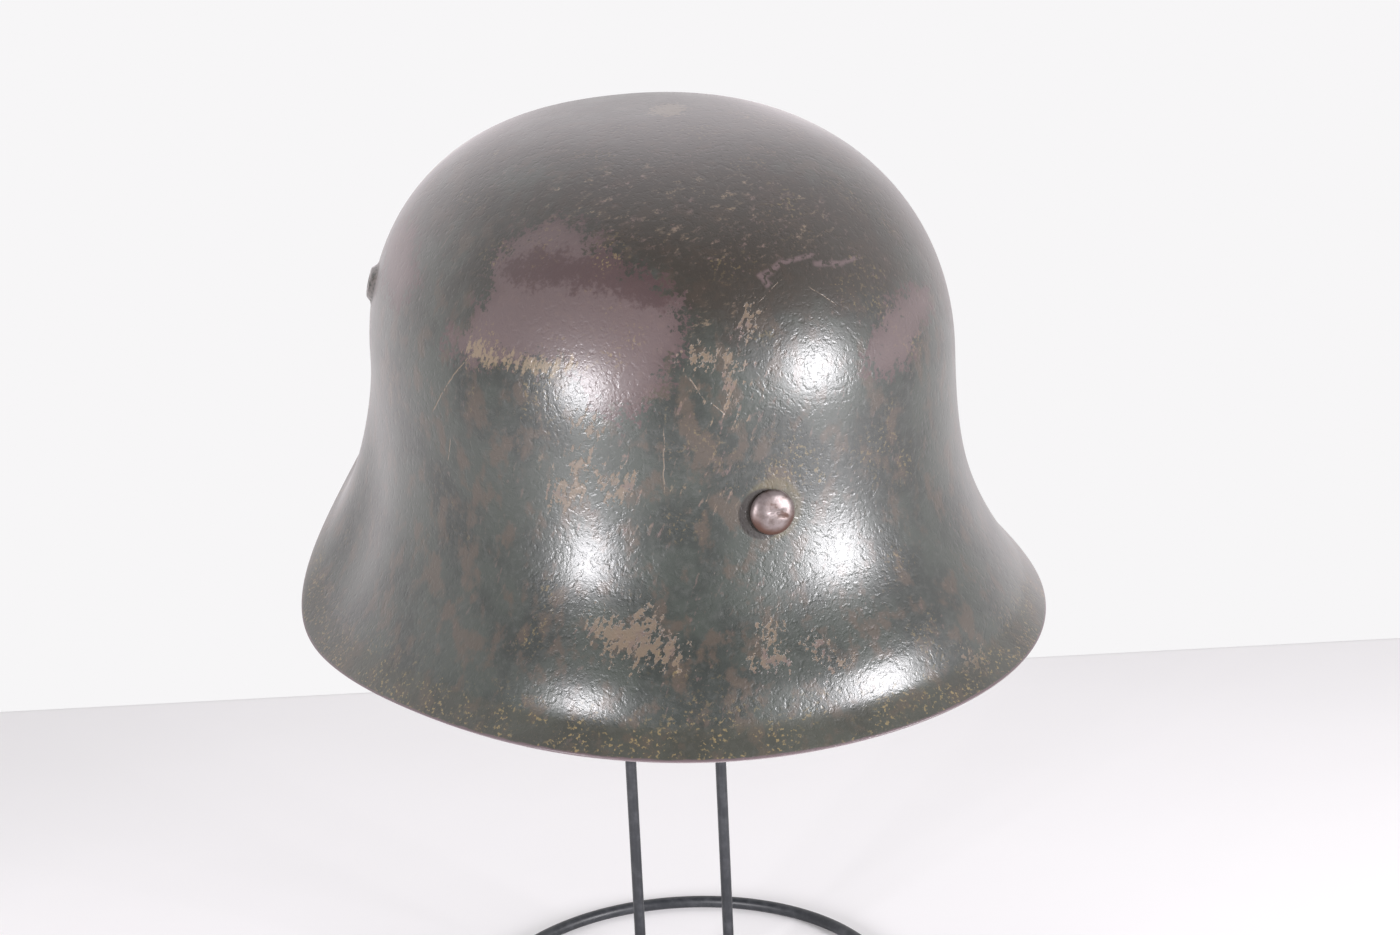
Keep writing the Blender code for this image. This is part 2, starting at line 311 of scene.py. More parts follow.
@dataclass
class ShellShape:
    """Form of the pressed steel, on its outside, with the CAD model's sizes in metres."""

    sheet: float = 1.2 * MM
    half_width: float = 93.5 * MM
    front_length: float = 105.8 * MM
    rear_length: float = 106.6 * MM
    crown_height: float = 79.0 * MM
    wall_height: float = 84.8 * MM
    rim_reach: float = 39.5 * MM
    visor_lift: float = 36.3 * MM
    edge_width: float = 11.0 * MM
    plan_power: float = 2.18
    crown_width_power: float = 2.58
    crown_height_power: float = 2.09
    origin: np.ndarray = field(init=False)

    def __post_init__(self) -> None:
        """Finds the rim's level and middle from the CAD shell: its top and its two ends are the same."""
        self.origin = np.zeros(3)
        low, high = (np.array(corner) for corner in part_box("helmet_shell"))
        rim = self.points(np.radians(np.arange(360)), 3)
        middle = (rim[:, 1].min() + rim[:, 1].max()) / 2
        self.origin = np.array([
            (low[0] + high[0]) / 2,
            (low[1] + high[1]) / 2 - middle,
            high[2] - self.wall_height - self.crown_height,
        ])

    def plan_radius(self, angle: np.ndarray) -> np.ndarray:
        """The wall's distance from the middle, seen from above: a superellipse, longer at the rear."""
        length = np.where(np.cos(angle) > 0, self.front_length, self.rear_length)
        across = np.abs(np.sin(angle) / self.half_width) ** self.plan_power
        along = np.abs(np.cos(angle) / length) ** self.plan_power
        return (across + along) ** (-1 / self.plan_power)

    def points(self, angle: np.ndarray, down: np.ndarray) -> np.ndarray:
        """Points of the outside.

        The crown is a superellipse in section: the radius is the wall's times a power of the sine, and
        the height is a power of the cosine. The skirt is a cubic Bezier curve in section, upright where
        it leaves the wall, and the edge band is straight.

        Args:
            angle: radians round from the front, towards the wearer's left.
            down: 0 to 1 over the crown, to 2 down the skirt and to 3 over the edge band.

        Returns:
            Points in the row frame.
        """
        angle, down = np.broadcast_arrays(np.asarray(angle, float), np.asarray(down, float))
        wall = self.plan_radius(angle)
        turn = np.clip(down, 0, 1) * math.pi / 2
        radius = wall * np.sin(turn) ** (2 / self.crown_width_power)
        rise = self.crown_height * np.maximum(np.cos(turn), 0) ** (2 / self.crown_height_power)
        slope = np.radians(around("slope", angle))
        edge_slope = slope - np.radians(around("turn", angle))
        reach = self.rim_reach * around("reach", angle) - self.edge_width * np.cos(edge_slope)
        lift = self.visor_lift * around("lift", angle)
        drop = self.wall_height - lift - self.edge_width * np.sin(edge_slope)
        straight = around("lip", angle) * np.hypot(reach, drop)
        share = np.clip(down - 1, 0, 1)
        rest = 1 - share
        second = 3 * share * rest**2
        third = 3 * share**2 * rest
        out = third * (reach - straight * np.cos(slope)) + share**3 * reach
        fall = second * around("waist", angle) * drop
        fall = fall + third * (drop - straight * np.sin(slope)) + share**3 * drop
        edge = self.edge_width * np.clip(down - 2, 0, 1)
        out = out + edge * np.cos(edge_slope)
        fall = fall + edge * np.sin(edge_slope)
        radius = np.where(down > 1, wall + out, radius)
        height = self.wall_height + np.where(down > 1, -fall, rise)
        return self.origin + np.stack([radius * np.sin(angle), -radius * np.cos(angle), height], -1)

    def directions(self, angle: np.ndarray, down: np.ndarray) -> tuple[np.ndarray, np.ndarray, np.ndarray]:
        """Unit directions round to the right, down and outward at points of the outside.

        Each is the difference of two points a small step to either side.

        Args:
            angle: radians round from the front.
            down: as for points.

        Returns:
            The three directions. On the crown's very top the outward one is straight up.
        """
        step = 0.002
        angle, down = np.broadcast_arrays(np.asarray(angle, float), np.asarray(down, float))
        right = unit(self.points(angle + step, down) - self.points(angle - step, down))
        above = np.maximum(down - step, 0)
        below = np.minimum(down + step, 3)
        downward = unit(self.points(angle, below) - self.points(angle, above))
        outward = unit(np.cross(downward, right))
        outward = np.where(down[..., None] < step, np.array([0.0, 0.0, 1.0]), outward)
        return right, downward, outward

    def down_at(self, angle_degrees: float, height: float) -> float:
        """How far down the outside a height over the rim's level is, at one angle."""
        fine = np.linspace(0.02, 3, 3000)
        heights = self.points(math.radians(angle_degrees), fine)[:, 2] - self.origin[2]
        return float(np.interp(-height, -heights, fine))

    def place(self, angle_degrees: float, height: float) -> WallPlace:
        """A place on the outside.

        Args:
            angle_degrees: degrees round from the front, towards the wearer's left.
            height: metres over the rim's level.

        Returns:
            The place with its directions.
        """
        angle = math.radians(angle_degrees)
        down = self.down_at(angle_degrees, height)
        right, _, out = self.directions(angle, down)
        return WallPlace(self.points(angle, down), right, np.cross(out, right), out)


class Wear(Enum):
    """What lies bare or has settled on the paint, each being an attribute of the shell's mesh."""

    PRIMER = "wear_primer"
    MAROON = "wear_maroon"
    UMBER = "wear_umber"
    OCHRE = "wear_ochre"
    CHIP = "wear_chip"
    FLECKS = "wear_flecks"
    RIM = "wear_rim"
    INSIDE = "wear_inside"


@dataclass(frozen=True)
class WornPatch:
    """An area of one kind of wear: its middle on the shell, and its outline round that, seen from outside.

    angle is in degrees round from the front, height in millimetres over the rim's level, and the
    outline's points are millimetres to the right and up.
    """

    wear: Wear
    angle: float
    height: float
    outline: tuple[tuple[float, float], ...]

    def depth(self, local: np.ndarray) -> np.ndarray:
        """Distance inside the outline, negative outside it.

        The distance is the least one to any side of the outline, and a point is inside where a level
        line from it crosses an odd number of sides.

        Args:
            local: points to the right and up from the patch's middle, in millimetres.

        Returns:
            The distance of each point in millimetres.
        """
        start = np.array(self.outline, float)
        side = np.roll(start, -1, axis=0) - start
        away = local[:, None, :] - start
        along = np.clip((away * side).sum(-1) / (side**2).sum(-1), 0, 1)
        distance = np.linalg.norm(away - along[..., None] * side, axis=-1).min(axis=1)
        below = start[:, 1] <= local[:, None, 1]
        end_below = np.roll(start[:, 1], -1) <= local[:, None, 1]
        rise = np.where(side[:, 1] == 0, 1, side[:, 1])
        crossing = start[:, 0] + (local[:, None, 1] - start[:, 1]) * side[:, 0] / rise
        hits = (below != end_below) & (crossing > local[:, None, 0])
        return np.where(hits.sum(axis=1) % 2 == 1, distance, -distance)


WORN_PATCHES = (
    WornPatch(Wear.PRIMER, 147, 121, (
        (-22, 29), (-10, 31), (-3, 30), (5, 25), (14, 19), (26, 13), (32, 9), (34, -5), (30, -10),
        (29, -18), (25, -23), (18, -28), (11, -25), (4, -18), (0, -13), (-18, -13), (-33, -13),
        (-45, -8), (-35, -1), (-28, 9), (-31, 16), (-26, 22),
    )),
    WornPatch(Wear.PRIMER, 208, 107, (
        (15, 12), (26, 7), (24, 1), (9, -5), (1, -12), (-12, -12), (-16, -8), (-16, -3), (-9, 2), (-3, 7),
    )),
    WornPatch(Wear.PRIMER, 122, 110, ((-5, 2), (2, 5), (4, -1), (-1, -6))),
    WornPatch(Wear.PRIMER, 90, 123, ((-24, 10), (-4, 14), (21, 0), (12, -13), (-9, -9), (-27, 1))),
    WornPatch(Wear.MAROON, 150, 133, (
        (-29, 4), (-17, 9), (-5, 6), (2, 9), (15, 5), (26, -2), (24, -9), (13, -7), (1, -4), (-12, -3),
        (-25, -3),
    )),
    WornPatch(Wear.UMBER, 175, 139, (
        (-50, 36), (-26, 38), (4, 35), (34, 28), (60, 15), (63, 0), (44, -18), (23, -24), (4, -26),
        (-8, -25), (-10, -14), (-19, -2), (-31, 15), (-46, 26),
    )),
    WornPatch(Wear.UMBER, 235, 120, ((-20, 25), (25, 30), (30, -10), (5, -30), (-12, -10))),
    WornPatch(Wear.OCHRE, 139, 108, (
        (-20, 5), (-6, 2), (14, 3), (20, 0), (10, -2), (-2, -2), (-18, -2), (-24, 2),
    )),
    WornPatch(Wear.OCHRE, 220, 164, ((-4, 7), (6, 6), (13, 3), (5, -6), (-6, -8), (-10, -1))),
    WornPatch(Wear.FLECKS, 170, 149, (
        (-40, 20), (-10, 20), (26, 14), (48, 2), (36, -16), (4, -20), (-20, -8), (-36, 5),
    )),
    WornPatch(Wear.FLECKS, 172, 104, ((-8, 16), (10, 20), (16, 0), (10, -40), (-14, -40), (-10, -10))),
    WornPatch(Wear.FLECKS, 152, 70, ((-16, 12), (12, 12), (20, -8), (0, -14), (-16, -8))),
    WornPatch(Wear.CHIP, 158, 28, (
        (-17, 5), (-10, 7), (-4, 5), (1, 10), (6, 7), (5, 3), (10, 3), (10, -4), (13, 0), (12, -6), (7, -5),
        (2, -4), (0, -8), (-3, -3), (-8, -5), (-10, -1), (-16, 2),
    )),
    WornPatch(Wear.CHIP, 177, 23, (
        (0, 6), (3, 7), (2, 2), (0, 0), (4, -2), (3, -6), (-3, -5), (-6, -5), (-3, -2), (-1, 3),
    )),
    WornPatch(Wear.CHIP, 156, 72, ((-6, 2), (-1, 4), (5, 3), (3, -1), (0, -4), (-4, -3))),
    WornPatch(Wear.CHIP, 146, 69, ((-5, 2), (0, 4), (4, 2), (3, -2), (0, -4), (-3, -2))),
    WornPatch(Wear.CHIP, 149, 75, ((-1, 9), (2, 7), (2, -1), (0, -9), (-2, -7), (-1, 2))),
    WornPatch(Wear.CHIP, 151, 90, ((-3, 2), (3, 1), (2, -2), (-3, -1))),
    WornPatch(Wear.CHIP, 179, 118, ((0, 4), (2, 2), (0, -4), (-2, -2))),
    WornPatch(Wear.CHIP, 170, 110, ((-4, 2), (4, 1), (3, -1), (-3, -1))),
    WornPatch(Wear.CHIP, 175, 102, ((-1, 7), (2, 5), (1, -7), (-2, -5))),
    WornPatch(Wear.CHIP, 185, 19, ((-5, 4), (-1, 4), (1, -1), (5, -3), (0, -4), (-2, 1))),
    WornPatch(Wear.CHIP, 208, 6, ((-4, 3), (4, 1), (4, -2), (-5, -2))),
)


@dataclass(frozen=True)
class Vent:
    """An embossed vent: a round boss pressed out of the sheet, with a hole in its flat top."""

    angle: float = 70
    height: float = 109.0 * MM
    radius: float = 7.0 * MM
    top_radius: float = 4.2 * MM
    rise: float = 2.0 * MM
    hole_radius: float = 2.4 * MM

    def relief(self, distance: np.ndarray) -> np.ndarray:
        """How far the sheet is pressed out at a distance from the vent's middle: eased from top to foot."""
        return self.rise * smooth_share((self.radius - distance) / (self.radius - self.top_radius))


@dataclass(frozen=True)
class RivetPlace:
    """Where a rivet sits: degrees round from the front, and height over the rim's level in metres."""

    name: str
    node: str
    angle: float
    height: float


RIVET_PLACES = (
    RivetPlace("worn_rivet_rear", "rivet_rear", 180, 61.2 * MM),
    RivetPlace("worn_rivet_front_left", "rivet_front_left", 52, 78.0 * MM),
    RivetPlace("worn_rivet_front_right", "rivet_front_right", -52, 78.0 * MM),
)


def crowded(even: np.ndarray, density: np.ndarray, shares: np.ndarray) -> np.ndarray:
    """Values along an even scale that lie closer together where the density is high.

    Args:
        even: the scale.
        density: how closely the values lie at each of its steps.
        shares: how much of the density's sum lies before each value, from 0 to 1.

    Returns:
        One value for each share.
    """
    total = np.concatenate([[0], np.cumsum((density[1:] + density[:-1]) / 2)])
    return np.interp(shares * total[-1], total, even)


@dataclass
class SteelShell:
    """The pressed shell: one sheet with vents, rivet holes and a raw edge."""

    shape: ShellShape
    vent: Vent = field(default_factory=Vent)
    bore_radius: float = 2.8 * MM
    corner_radius: float = 0.3 * MM
    dent_depth: float = 0.22 * MM
    columns: int = 380
    crown_rows: int = 46
    skirt_rows: int = 40
    edge_rows: int = 8
    extra_columns: float = 2.2
    crowded_degrees: float = 5.5
    extra_rows: float = 1.6
    crowded_down: float = 0.09
    fold_zone: tuple[float, float] = (1.85, 2.7)
    fold_passes: int = 5
    corner_rows: int = 4
    hole_sides: int = 32

    def column_angles(self) -> np.ndarray:
        """Angles of the grid's columns, closer together across the two vents."""
        even = np.linspace(0, 2 * math.pi, 2881)
        density = np.ones_like(even)
        for centre in (self.vent.angle, 360 - self.vent.angle):
            aside = (np.degrees(even) - centre) / self.crowded_degrees
            density += self.extra_columns * np.exp(-(aside**4))
        return crowded(even, density, np.arange(self.columns) / self.columns)

    def row_downs(self) -> np.ndarray:
        """How far down the outside each row of the grid is, with closer rows across the vents' height."""
        vent_down = self.shape.down_at(self.vent.angle, self.vent.height)
        even = np.linspace(0, 1, 1001)
        density = 1 + self.extra_rows * np.exp(-(((even - vent_down) / self.crowded_down) ** 4))
        crown = crowded(even, density, np.arange(1, self.crown_rows + 1) / self.crown_rows)
        skirt = np.linspace(1, 2, self.skirt_rows + 1)[1:]
        edge_end = 3 - self.corner_radius / self.shape.edge_width
        edge = np.linspace(2, edge_end, self.edge_rows + 1)[1:]
        return np.concatenate([crown, skirt, edge])

    def relief(self, points: np.ndarray, down: np.ndarray) -> np.ndarray:
        """How far the sheet stands out from the plain form: the vents, and shallow dents from use.

        The dents are a sum of a few waves across the helmet, scaled to lie between nought and the dent
        depth inwards, and they die out at the rim and on the crown that rests on the stand.

        Args:
            points: points of the plain outside.
            down: how far down each is.

        Returns:
            Metres outward at each point.
        """
        waves = ((0, 61, 17, 23), (1, -38, 33, 41), (2, 27, 58, -19), (3, 12, -21, 66), (4, 83, 31, 12))
        total = np.zeros(points.shape[:-1])
        for phase, *cycles in waves:
            total += np.sin(points @ np.array(cycles, float) + phase * 1.7)
        away = smooth_share((down - 0.3) / 0.3) * smooth_share((2.9 - down) / 0.6)
        result = self.dent_depth * away * (total / len(waves) - 1) / 2
        for angle in (self.vent.angle, -self.vent.angle):
            place = self.shape.place(angle, self.vent.height)
            local = place.local(points)
            distance = np.hypot(local[..., 0], local[..., 1])
            near = np.abs(local[..., 2]) < 3 * self.vent.radius
            result = result + np.where(near, self.vent.relief(distance), 0)
        return result

    def grid(self) -> tuple[np.ndarray, dict[str, np.ndarray]]:
        """The sheet as one grid of rows, from the crown down its outside, round its edge and up its inside.

        The fold above the edge band is rounded by averaging each row with its two neighbours a few
        times. The inside is the outside moved in by the sheet's thickness. The edge has two rounded corners,
        each a quarter circle between the sheet's own direction and its outward one.

        Returns:
            Points by row and column, and for each row and column how far it lies down the sheet, the
            distance to the rim in metres and whether it is inside.
        """
        angle = self.column_angles()[None, :]
        down = self.row_downs()[:, None]
        _, _, outward = self.shape.directions(angle, down)
        plain = self.shape.points(angle, down)
        fold = np.flatnonzero((down[:, 0] > self.fold_zone[0]) & (down[:, 0] < self.fold_zone[1]))
        for _ in range(self.fold_passes):
            plain[fold] = (plain[fold - 1] + 2 * plain[fold] + plain[fold + 1]) / 4
            outward[fold] = unit(outward[fold - 1] + 2 * outward[fold] + outward[fold + 1])
        relief = self.relief(plain, np.broadcast_to(down, plain.shape[:-1]))[..., None]
        outside = plain + relief * outward
        inside = outside - self.shape.sheet * outward
        _, ahead, out = self.shape.directions(angle, np.array([[3.0]]))
        edge = self.shape.points(angle, np.array([[3.0]]))
        turn = np.linspace(0, math.pi / 2, self.corner_rows + 1)[1:, None, None]
        corner = self.corner_radius
        first = edge - corner * (ahead + out) + corner * (np.sin(turn) * ahead + np.cos(turn) * out)
        second = edge - corner * ahead - (self.shape.sheet - corner) * out
        second = second + corner * (np.cos(turn) * ahead - np.sin(turn) * out)
        second = np.concatenate([edge - (self.shape.sheet - corner) * out, second[:-1]])
        points = np.concatenate([outside, first, second, inside[::-1]])
        steps = np.linalg.norm(np.diff(plain, axis=0), axis=-1)
        run = np.concatenate([np.zeros((1, self.columns)), np.cumsum(steps, axis=0)])
        to_rim = run[-1:] - run + corner
        corners = np.zeros((2 * self.corner_rows, self.columns))
        flat_down = np.broadcast_to(down, plain.shape[:-1])
        return points, {
            "down": np.concatenate([flat_down, corners + 3, flat_down[::-1]]),
            "rim": np.concatenate([to_rim, corners, to_rim[::-1]]),
            "inside": np.concatenate([to_rim * 0, corners, to_rim * 0 + 1]),
        }

    def holes(self) -> list[tuple[WallPlace, float]]:
        """Place and radius of each hole: the two vents' and the three rivets'."""
        vents = [(self.shape.place(angle, self.vent.height), self.vent.hole_radius)
                 for angle in (self.vent.angle, -self.vent.angle)]
        rivets = [(self.shape.place(rivet.angle, rivet.height), self.bore_radius) for rivet in RIVET_PLACES]
        return vents + rivets

    def bore(self, place: WallPlace, radius: float) -> bpy.types.Object:
        """A round cutter through the sheet at a place.

        Args:
            place: the hole's middle.
            radius: the hole's radius.

        Returns:
            A closed cylinder along the outward direction.
        """
        turn = round_angles(self.hole_sides)
        ends = (6 * self.shape.sheet, -6 * self.shape.sheet)
        rings = [np.stack([radius * np.cos(turn), radius * np.sin(turn), turn * 0 + end], -1) for end in ends]
        local = np.concatenate([*rings, [(0, 0, ends[0])], [(0, 0, ends[1])]])
        return mesh_object("bore", place.world(local), tube_faces(2, self.hole_sides))

    def wear_fields(self, points: np.ndarray, normals: np.ndarray, grid: dict[str, np.ndarray]) -> dict:
        """Each kind of wear as one value for each vertex.

        A patch's value is the distance inside its outline in millimetres. It counts only where the
        surface faces the same side as the patch.

        Args:
            points: the vertices.
            normals: the plain form's outward direction at each.
            grid: distance to the rim and inside or not, for each vertex.

        Returns:
            Values by kind of wear.
        """
        far = 20.0
        fields = {wear: np.full(len(points), -far) for wear in Wear}
        for patch in WORN_PATCHES:
            place = self.shape.place(patch.angle, patch.height * MM)
            local = place.local(points) / MM
            outline = np.array(patch.outline)
            above = local[:, :2] > outline.min(axis=0) - far
            below = local[:, :2] < outline.max(axis=0) + far
            near = np.all(above & below, axis=1) & (normals @ place.out > 0.1)
            depth = patch.depth(local[near, :2])
            fields[patch.wear][near] = np.maximum(fields[patch.wear][near], depth)
        fields[Wear.RIM] = grid["rim"] / MM
        fields[Wear.INSIDE] = grid["inside"]
        return fields

    def build(self, material: bpy.types.Material) -> None:
        """Builds the shell and puts it in the CAD shell's place.

        Args:
            material: its paint.
        """
        points, grid = self.grid()
        rows, columns = points.shape[:2]
        top = self.shape.points(0, 0)
        poles = np.stack([top, top - (0, 0, self.shape.sheet)])
        vertices = np.concatenate([points.reshape(-1, 3), poles])
        shell = mesh_object("painted_steel_shell", vertices, tube_faces(rows, columns))
        number = shell.data.attributes.new("grid_number", "INT", "POINT")
        number.data.foreach_set("value", np.arange(1, len(vertices) + 1, dtype=np.int32))
        boolean(shell, [self.bore(place, radius) for place, radius in self.holes()], "DIFFERENCE")
        self.store_wear(shell, vertices, grid)
        shade(shell, 50)
        hand_in(shell, "helmet_shell", material)

    def store_wear(self, shell: bpy.types.Object, vertices: np.ndarray, grid: dict[str, np.ndarray]) -> None:
        """Puts the wear fields on the cut mesh. A vertex that the cuts made takes its nearest neighbour's.

        Args:
            shell: the cut shell.
            vertices: the vertices before the cuts.
            grid: how far down, distance to the rim and inside or not, by row and column.
        """
        mesh = shell.data
        count = len(mesh.vertices)
        numbers = np.zeros(count, np.int32)
        mesh.attributes["grid_number"].data.foreach_get("value", numbers)
        mesh.attributes.remove(mesh.attributes["grid_number"])
        places = np.zeros(count * 3, np.float32)
        mesh.vertices.foreach_get("co", places)
        places = places.reshape(-1, 3).astype(float)
        source = numbers - 1
        fresh = np.flatnonzero((numbers < 1) | (numbers > len(vertices)))
        holes = np.array([hole.point for hole, _ in self.holes()])
        reach = 4 * self.bore_radius
        around_holes = np.linalg.norm(vertices[:, None, :] - holes, axis=-1).min(axis=1) < reach
        close = np.flatnonzero(around_holes)
        gaps = np.linalg.norm(places[fresh][:, None, :] - vertices[close], axis=-1)
        source[fresh] = close[gaps.argmin(axis=1)]
        far_from_rim = 0.2
        poles = {"down": (0, 0), "rim": (far_from_rim, far_from_rim), "inside": (0, 1)}
        flat = {name: np.concatenate([grid[name].ravel(), poles[name]])[source] for name in poles}
        middle = self.shape.origin + np.array([0, 0, self.shape.wall_height])
        away = places - middle
        nearly_level = 4 * MM
        away[:, 2] = np.where(flat["down"] > 1, nearly_level, np.maximum(away[:, 2], 0))
        for wear, values in self.wear_fields(places, unit(away), flat).items():
            attribute = mesh.attributes.new(wear.value, "FLOAT", "POINT")
            attribute.data.foreach_set("value", values.astype(np.float32))


def square_terms(right: np.ndarray, up: np.ndarray) -> np.ndarray:
    """One, right, up, right squared, right times up, and up squared, along a new last axis."""
    return np.stack([np.ones_like(right), right, up, right**2, right * up, up**2], -1)


@dataclass
class Rivet:
    """A steel rivet: a dented dome over the sheet, its shank, and its clinched end inside."""

    shape: ShellShape
    place: RivetPlace
    head_radius: float = 6.9 * MM
    head_rise: float = 3.4 * MM
    shank_radius: float = 2.5 * MM
    clinch_radius: float = 5.2 * MM
    clinch_thickness: float = 1.2 * MM
    edge_height: float = 0.9 * MM
    seat_gap: float = 0.12 * MM
    crease_depth: float = 0.28 * MM
    sides: int = 72
    dome_rows: int = 26
    rust_name: str = "low_rust"

    def wall_form(self, spot: WallPlace) -> np.ndarray:
        """Quadratic form of the wall round the rivet: its height over the rivet's level plane.

        Args:
            spot: the rivet's place.

        Returns:
            The six factors of square_terms.
        """
        angles = math.radians(self.place.angle) + np.linspace(-0.12, 0.12, 41)[:, None]
        middle = self.shape.down_at(self.place.angle, self.place.height)
        downs = middle + np.linspace(-0.2, 0.2, 41)[None, :]
        local = spot.local(self.shape.points(angles, downs)).reshape(-1, 3)
        local = local[np.hypot(local[:, 0], local[:, 1]) < 1.2 * self.head_radius]
        right, up, out = local.T
        return np.linalg.lstsq(square_terms(right, up), out, rcond=None)[0]

    def dents(self, right: np.ndarray, up: np.ndarray) -> np.ndarray:
        """Depth of the hammer marks in the dome: a short level crease, a roof-shaped one and a flat.

        A crease is a bell curve of the distance to its line, and the flat is a boxier bell curve of the
        distance to its middle. Their places and widths are shares of the head's radius.

        Args:
            right: metres to the right of the rivet's middle.
            up: metres up from it.

        Returns:
            Metres inward.
        """
        across, rise = right / self.head_radius, up / self.head_radius
        aside = across - 0.12
        level = np.exp(-(((rise - 0.08) / 0.06) ** 2) - (aside / 0.4) ** 6)
        roof = np.exp(-(((rise + 0.10 + 0.32 * np.abs(aside)) / 0.07) ** 2) - (aside / 0.5) ** 6)
        flat = np.exp(-((aside / 0.5) ** 4) - (((rise - 0.25) / 0.42) ** 4))
        return self.crease_depth * (0.8 * level + 0.6 * roof + 0.9 * flat)

    def profile(self) -> np.ndarray:
        """Half section from the head's top down to the clinched end.

        Returns:
            Rows of radius, height over the sheet, and how far the height follows the wall's curve, from
            0 to 1.
        """
        sweep = np.linspace(0.04, 1, self.dome_rows) * math.pi / 2
        dome_radius = self.head_radius * np.sin(sweep) ** 0.85
        dome_height = self.edge_height + (self.head_rise - self.edge_height) * np.cos(sweep)
        dome = np.stack([dome_radius, dome_height, np.zeros(self.dome_rows)], -1)
        edge, end = self.head_radius, self.clinch_radius
        under = -self.shape.sheet - self.seat_gap
        thin = self.clinch_thickness
        rest = (
            (edge, 0.55 * MM, 0.6),
            (0.992 * edge, 0.25 * MM, 1.0),
            (0.96 * edge, self.seat_gap, 1.0),
            (self.shank_radius, self.seat_gap, 1.0),
            (self.shank_radius, under, 1.0),
            (end, under, 1.0),
            (end, under - 0.5 * thin, 1.0),
            (0.85 * end, under - 0.9 * thin, 0.7),
            (0.3 * MM, under - thin, 0.0),
        )
        return np.concatenate([dome, rest])

    def rust(self, local: np.ndarray) -> np.ndarray:
        """Share of rust at points of the rivet, which gathers low on the head and near its edge."""
        share = np.hypot(local[:, 0], local[:, 1]) / self.head_radius
        low = smooth_share((0.35 - local[:, 1] / self.head_radius) / 0.8)
        return low * smooth_share((share - 0.55) / 0.35)

    def build(self, material: bpy.types.Material) -> None:
        """Builds the rivet in its CAD node's place.

        The profile is turned round the rivet's axis, with the head's and the clinched end's edges
        lowered or raised to follow the curved wall.

        Args:
            material: its steel.
        """
        spot = self.shape.place(self.place.angle, self.place.height)
        profile = self.profile()
        radius, height, follow = (column[:, None] for column in profile.T)
        turn = round_angles(self.sides)
        right, up = radius * np.cos(turn), radius * np.sin(turn)
        out = height + follow * (square_terms(right, up) @ self.wall_form(spot))
        on_dome = np.arange(len(profile))[:, None] < self.dome_rows
        rim_ease = smooth_share((1 - radius / self.head_radius) / 0.25)
        out = out - np.where(on_dome, rim_ease * self.dents(right, up), 0)
        top = self.head_rise - self.dents(np.zeros(1), np.zeros(1))[0]
        ends = [(0, 0, top), (0, 0, profile[-1, 1])]
        local = np.concatenate([np.stack([right, up, out], -1).reshape(-1, 3), ends])
        rivet = mesh_object(self.place.name, spot.world(local), tube_faces(len(profile), self.sides), 50)
        rust = rivet.data.attributes.new(self.rust_name, "FLOAT", "POINT")
        rust.data.foreach_set("value", self.rust(local).astype(np.float32))
        hand_in(rivet, self.place.node, material)


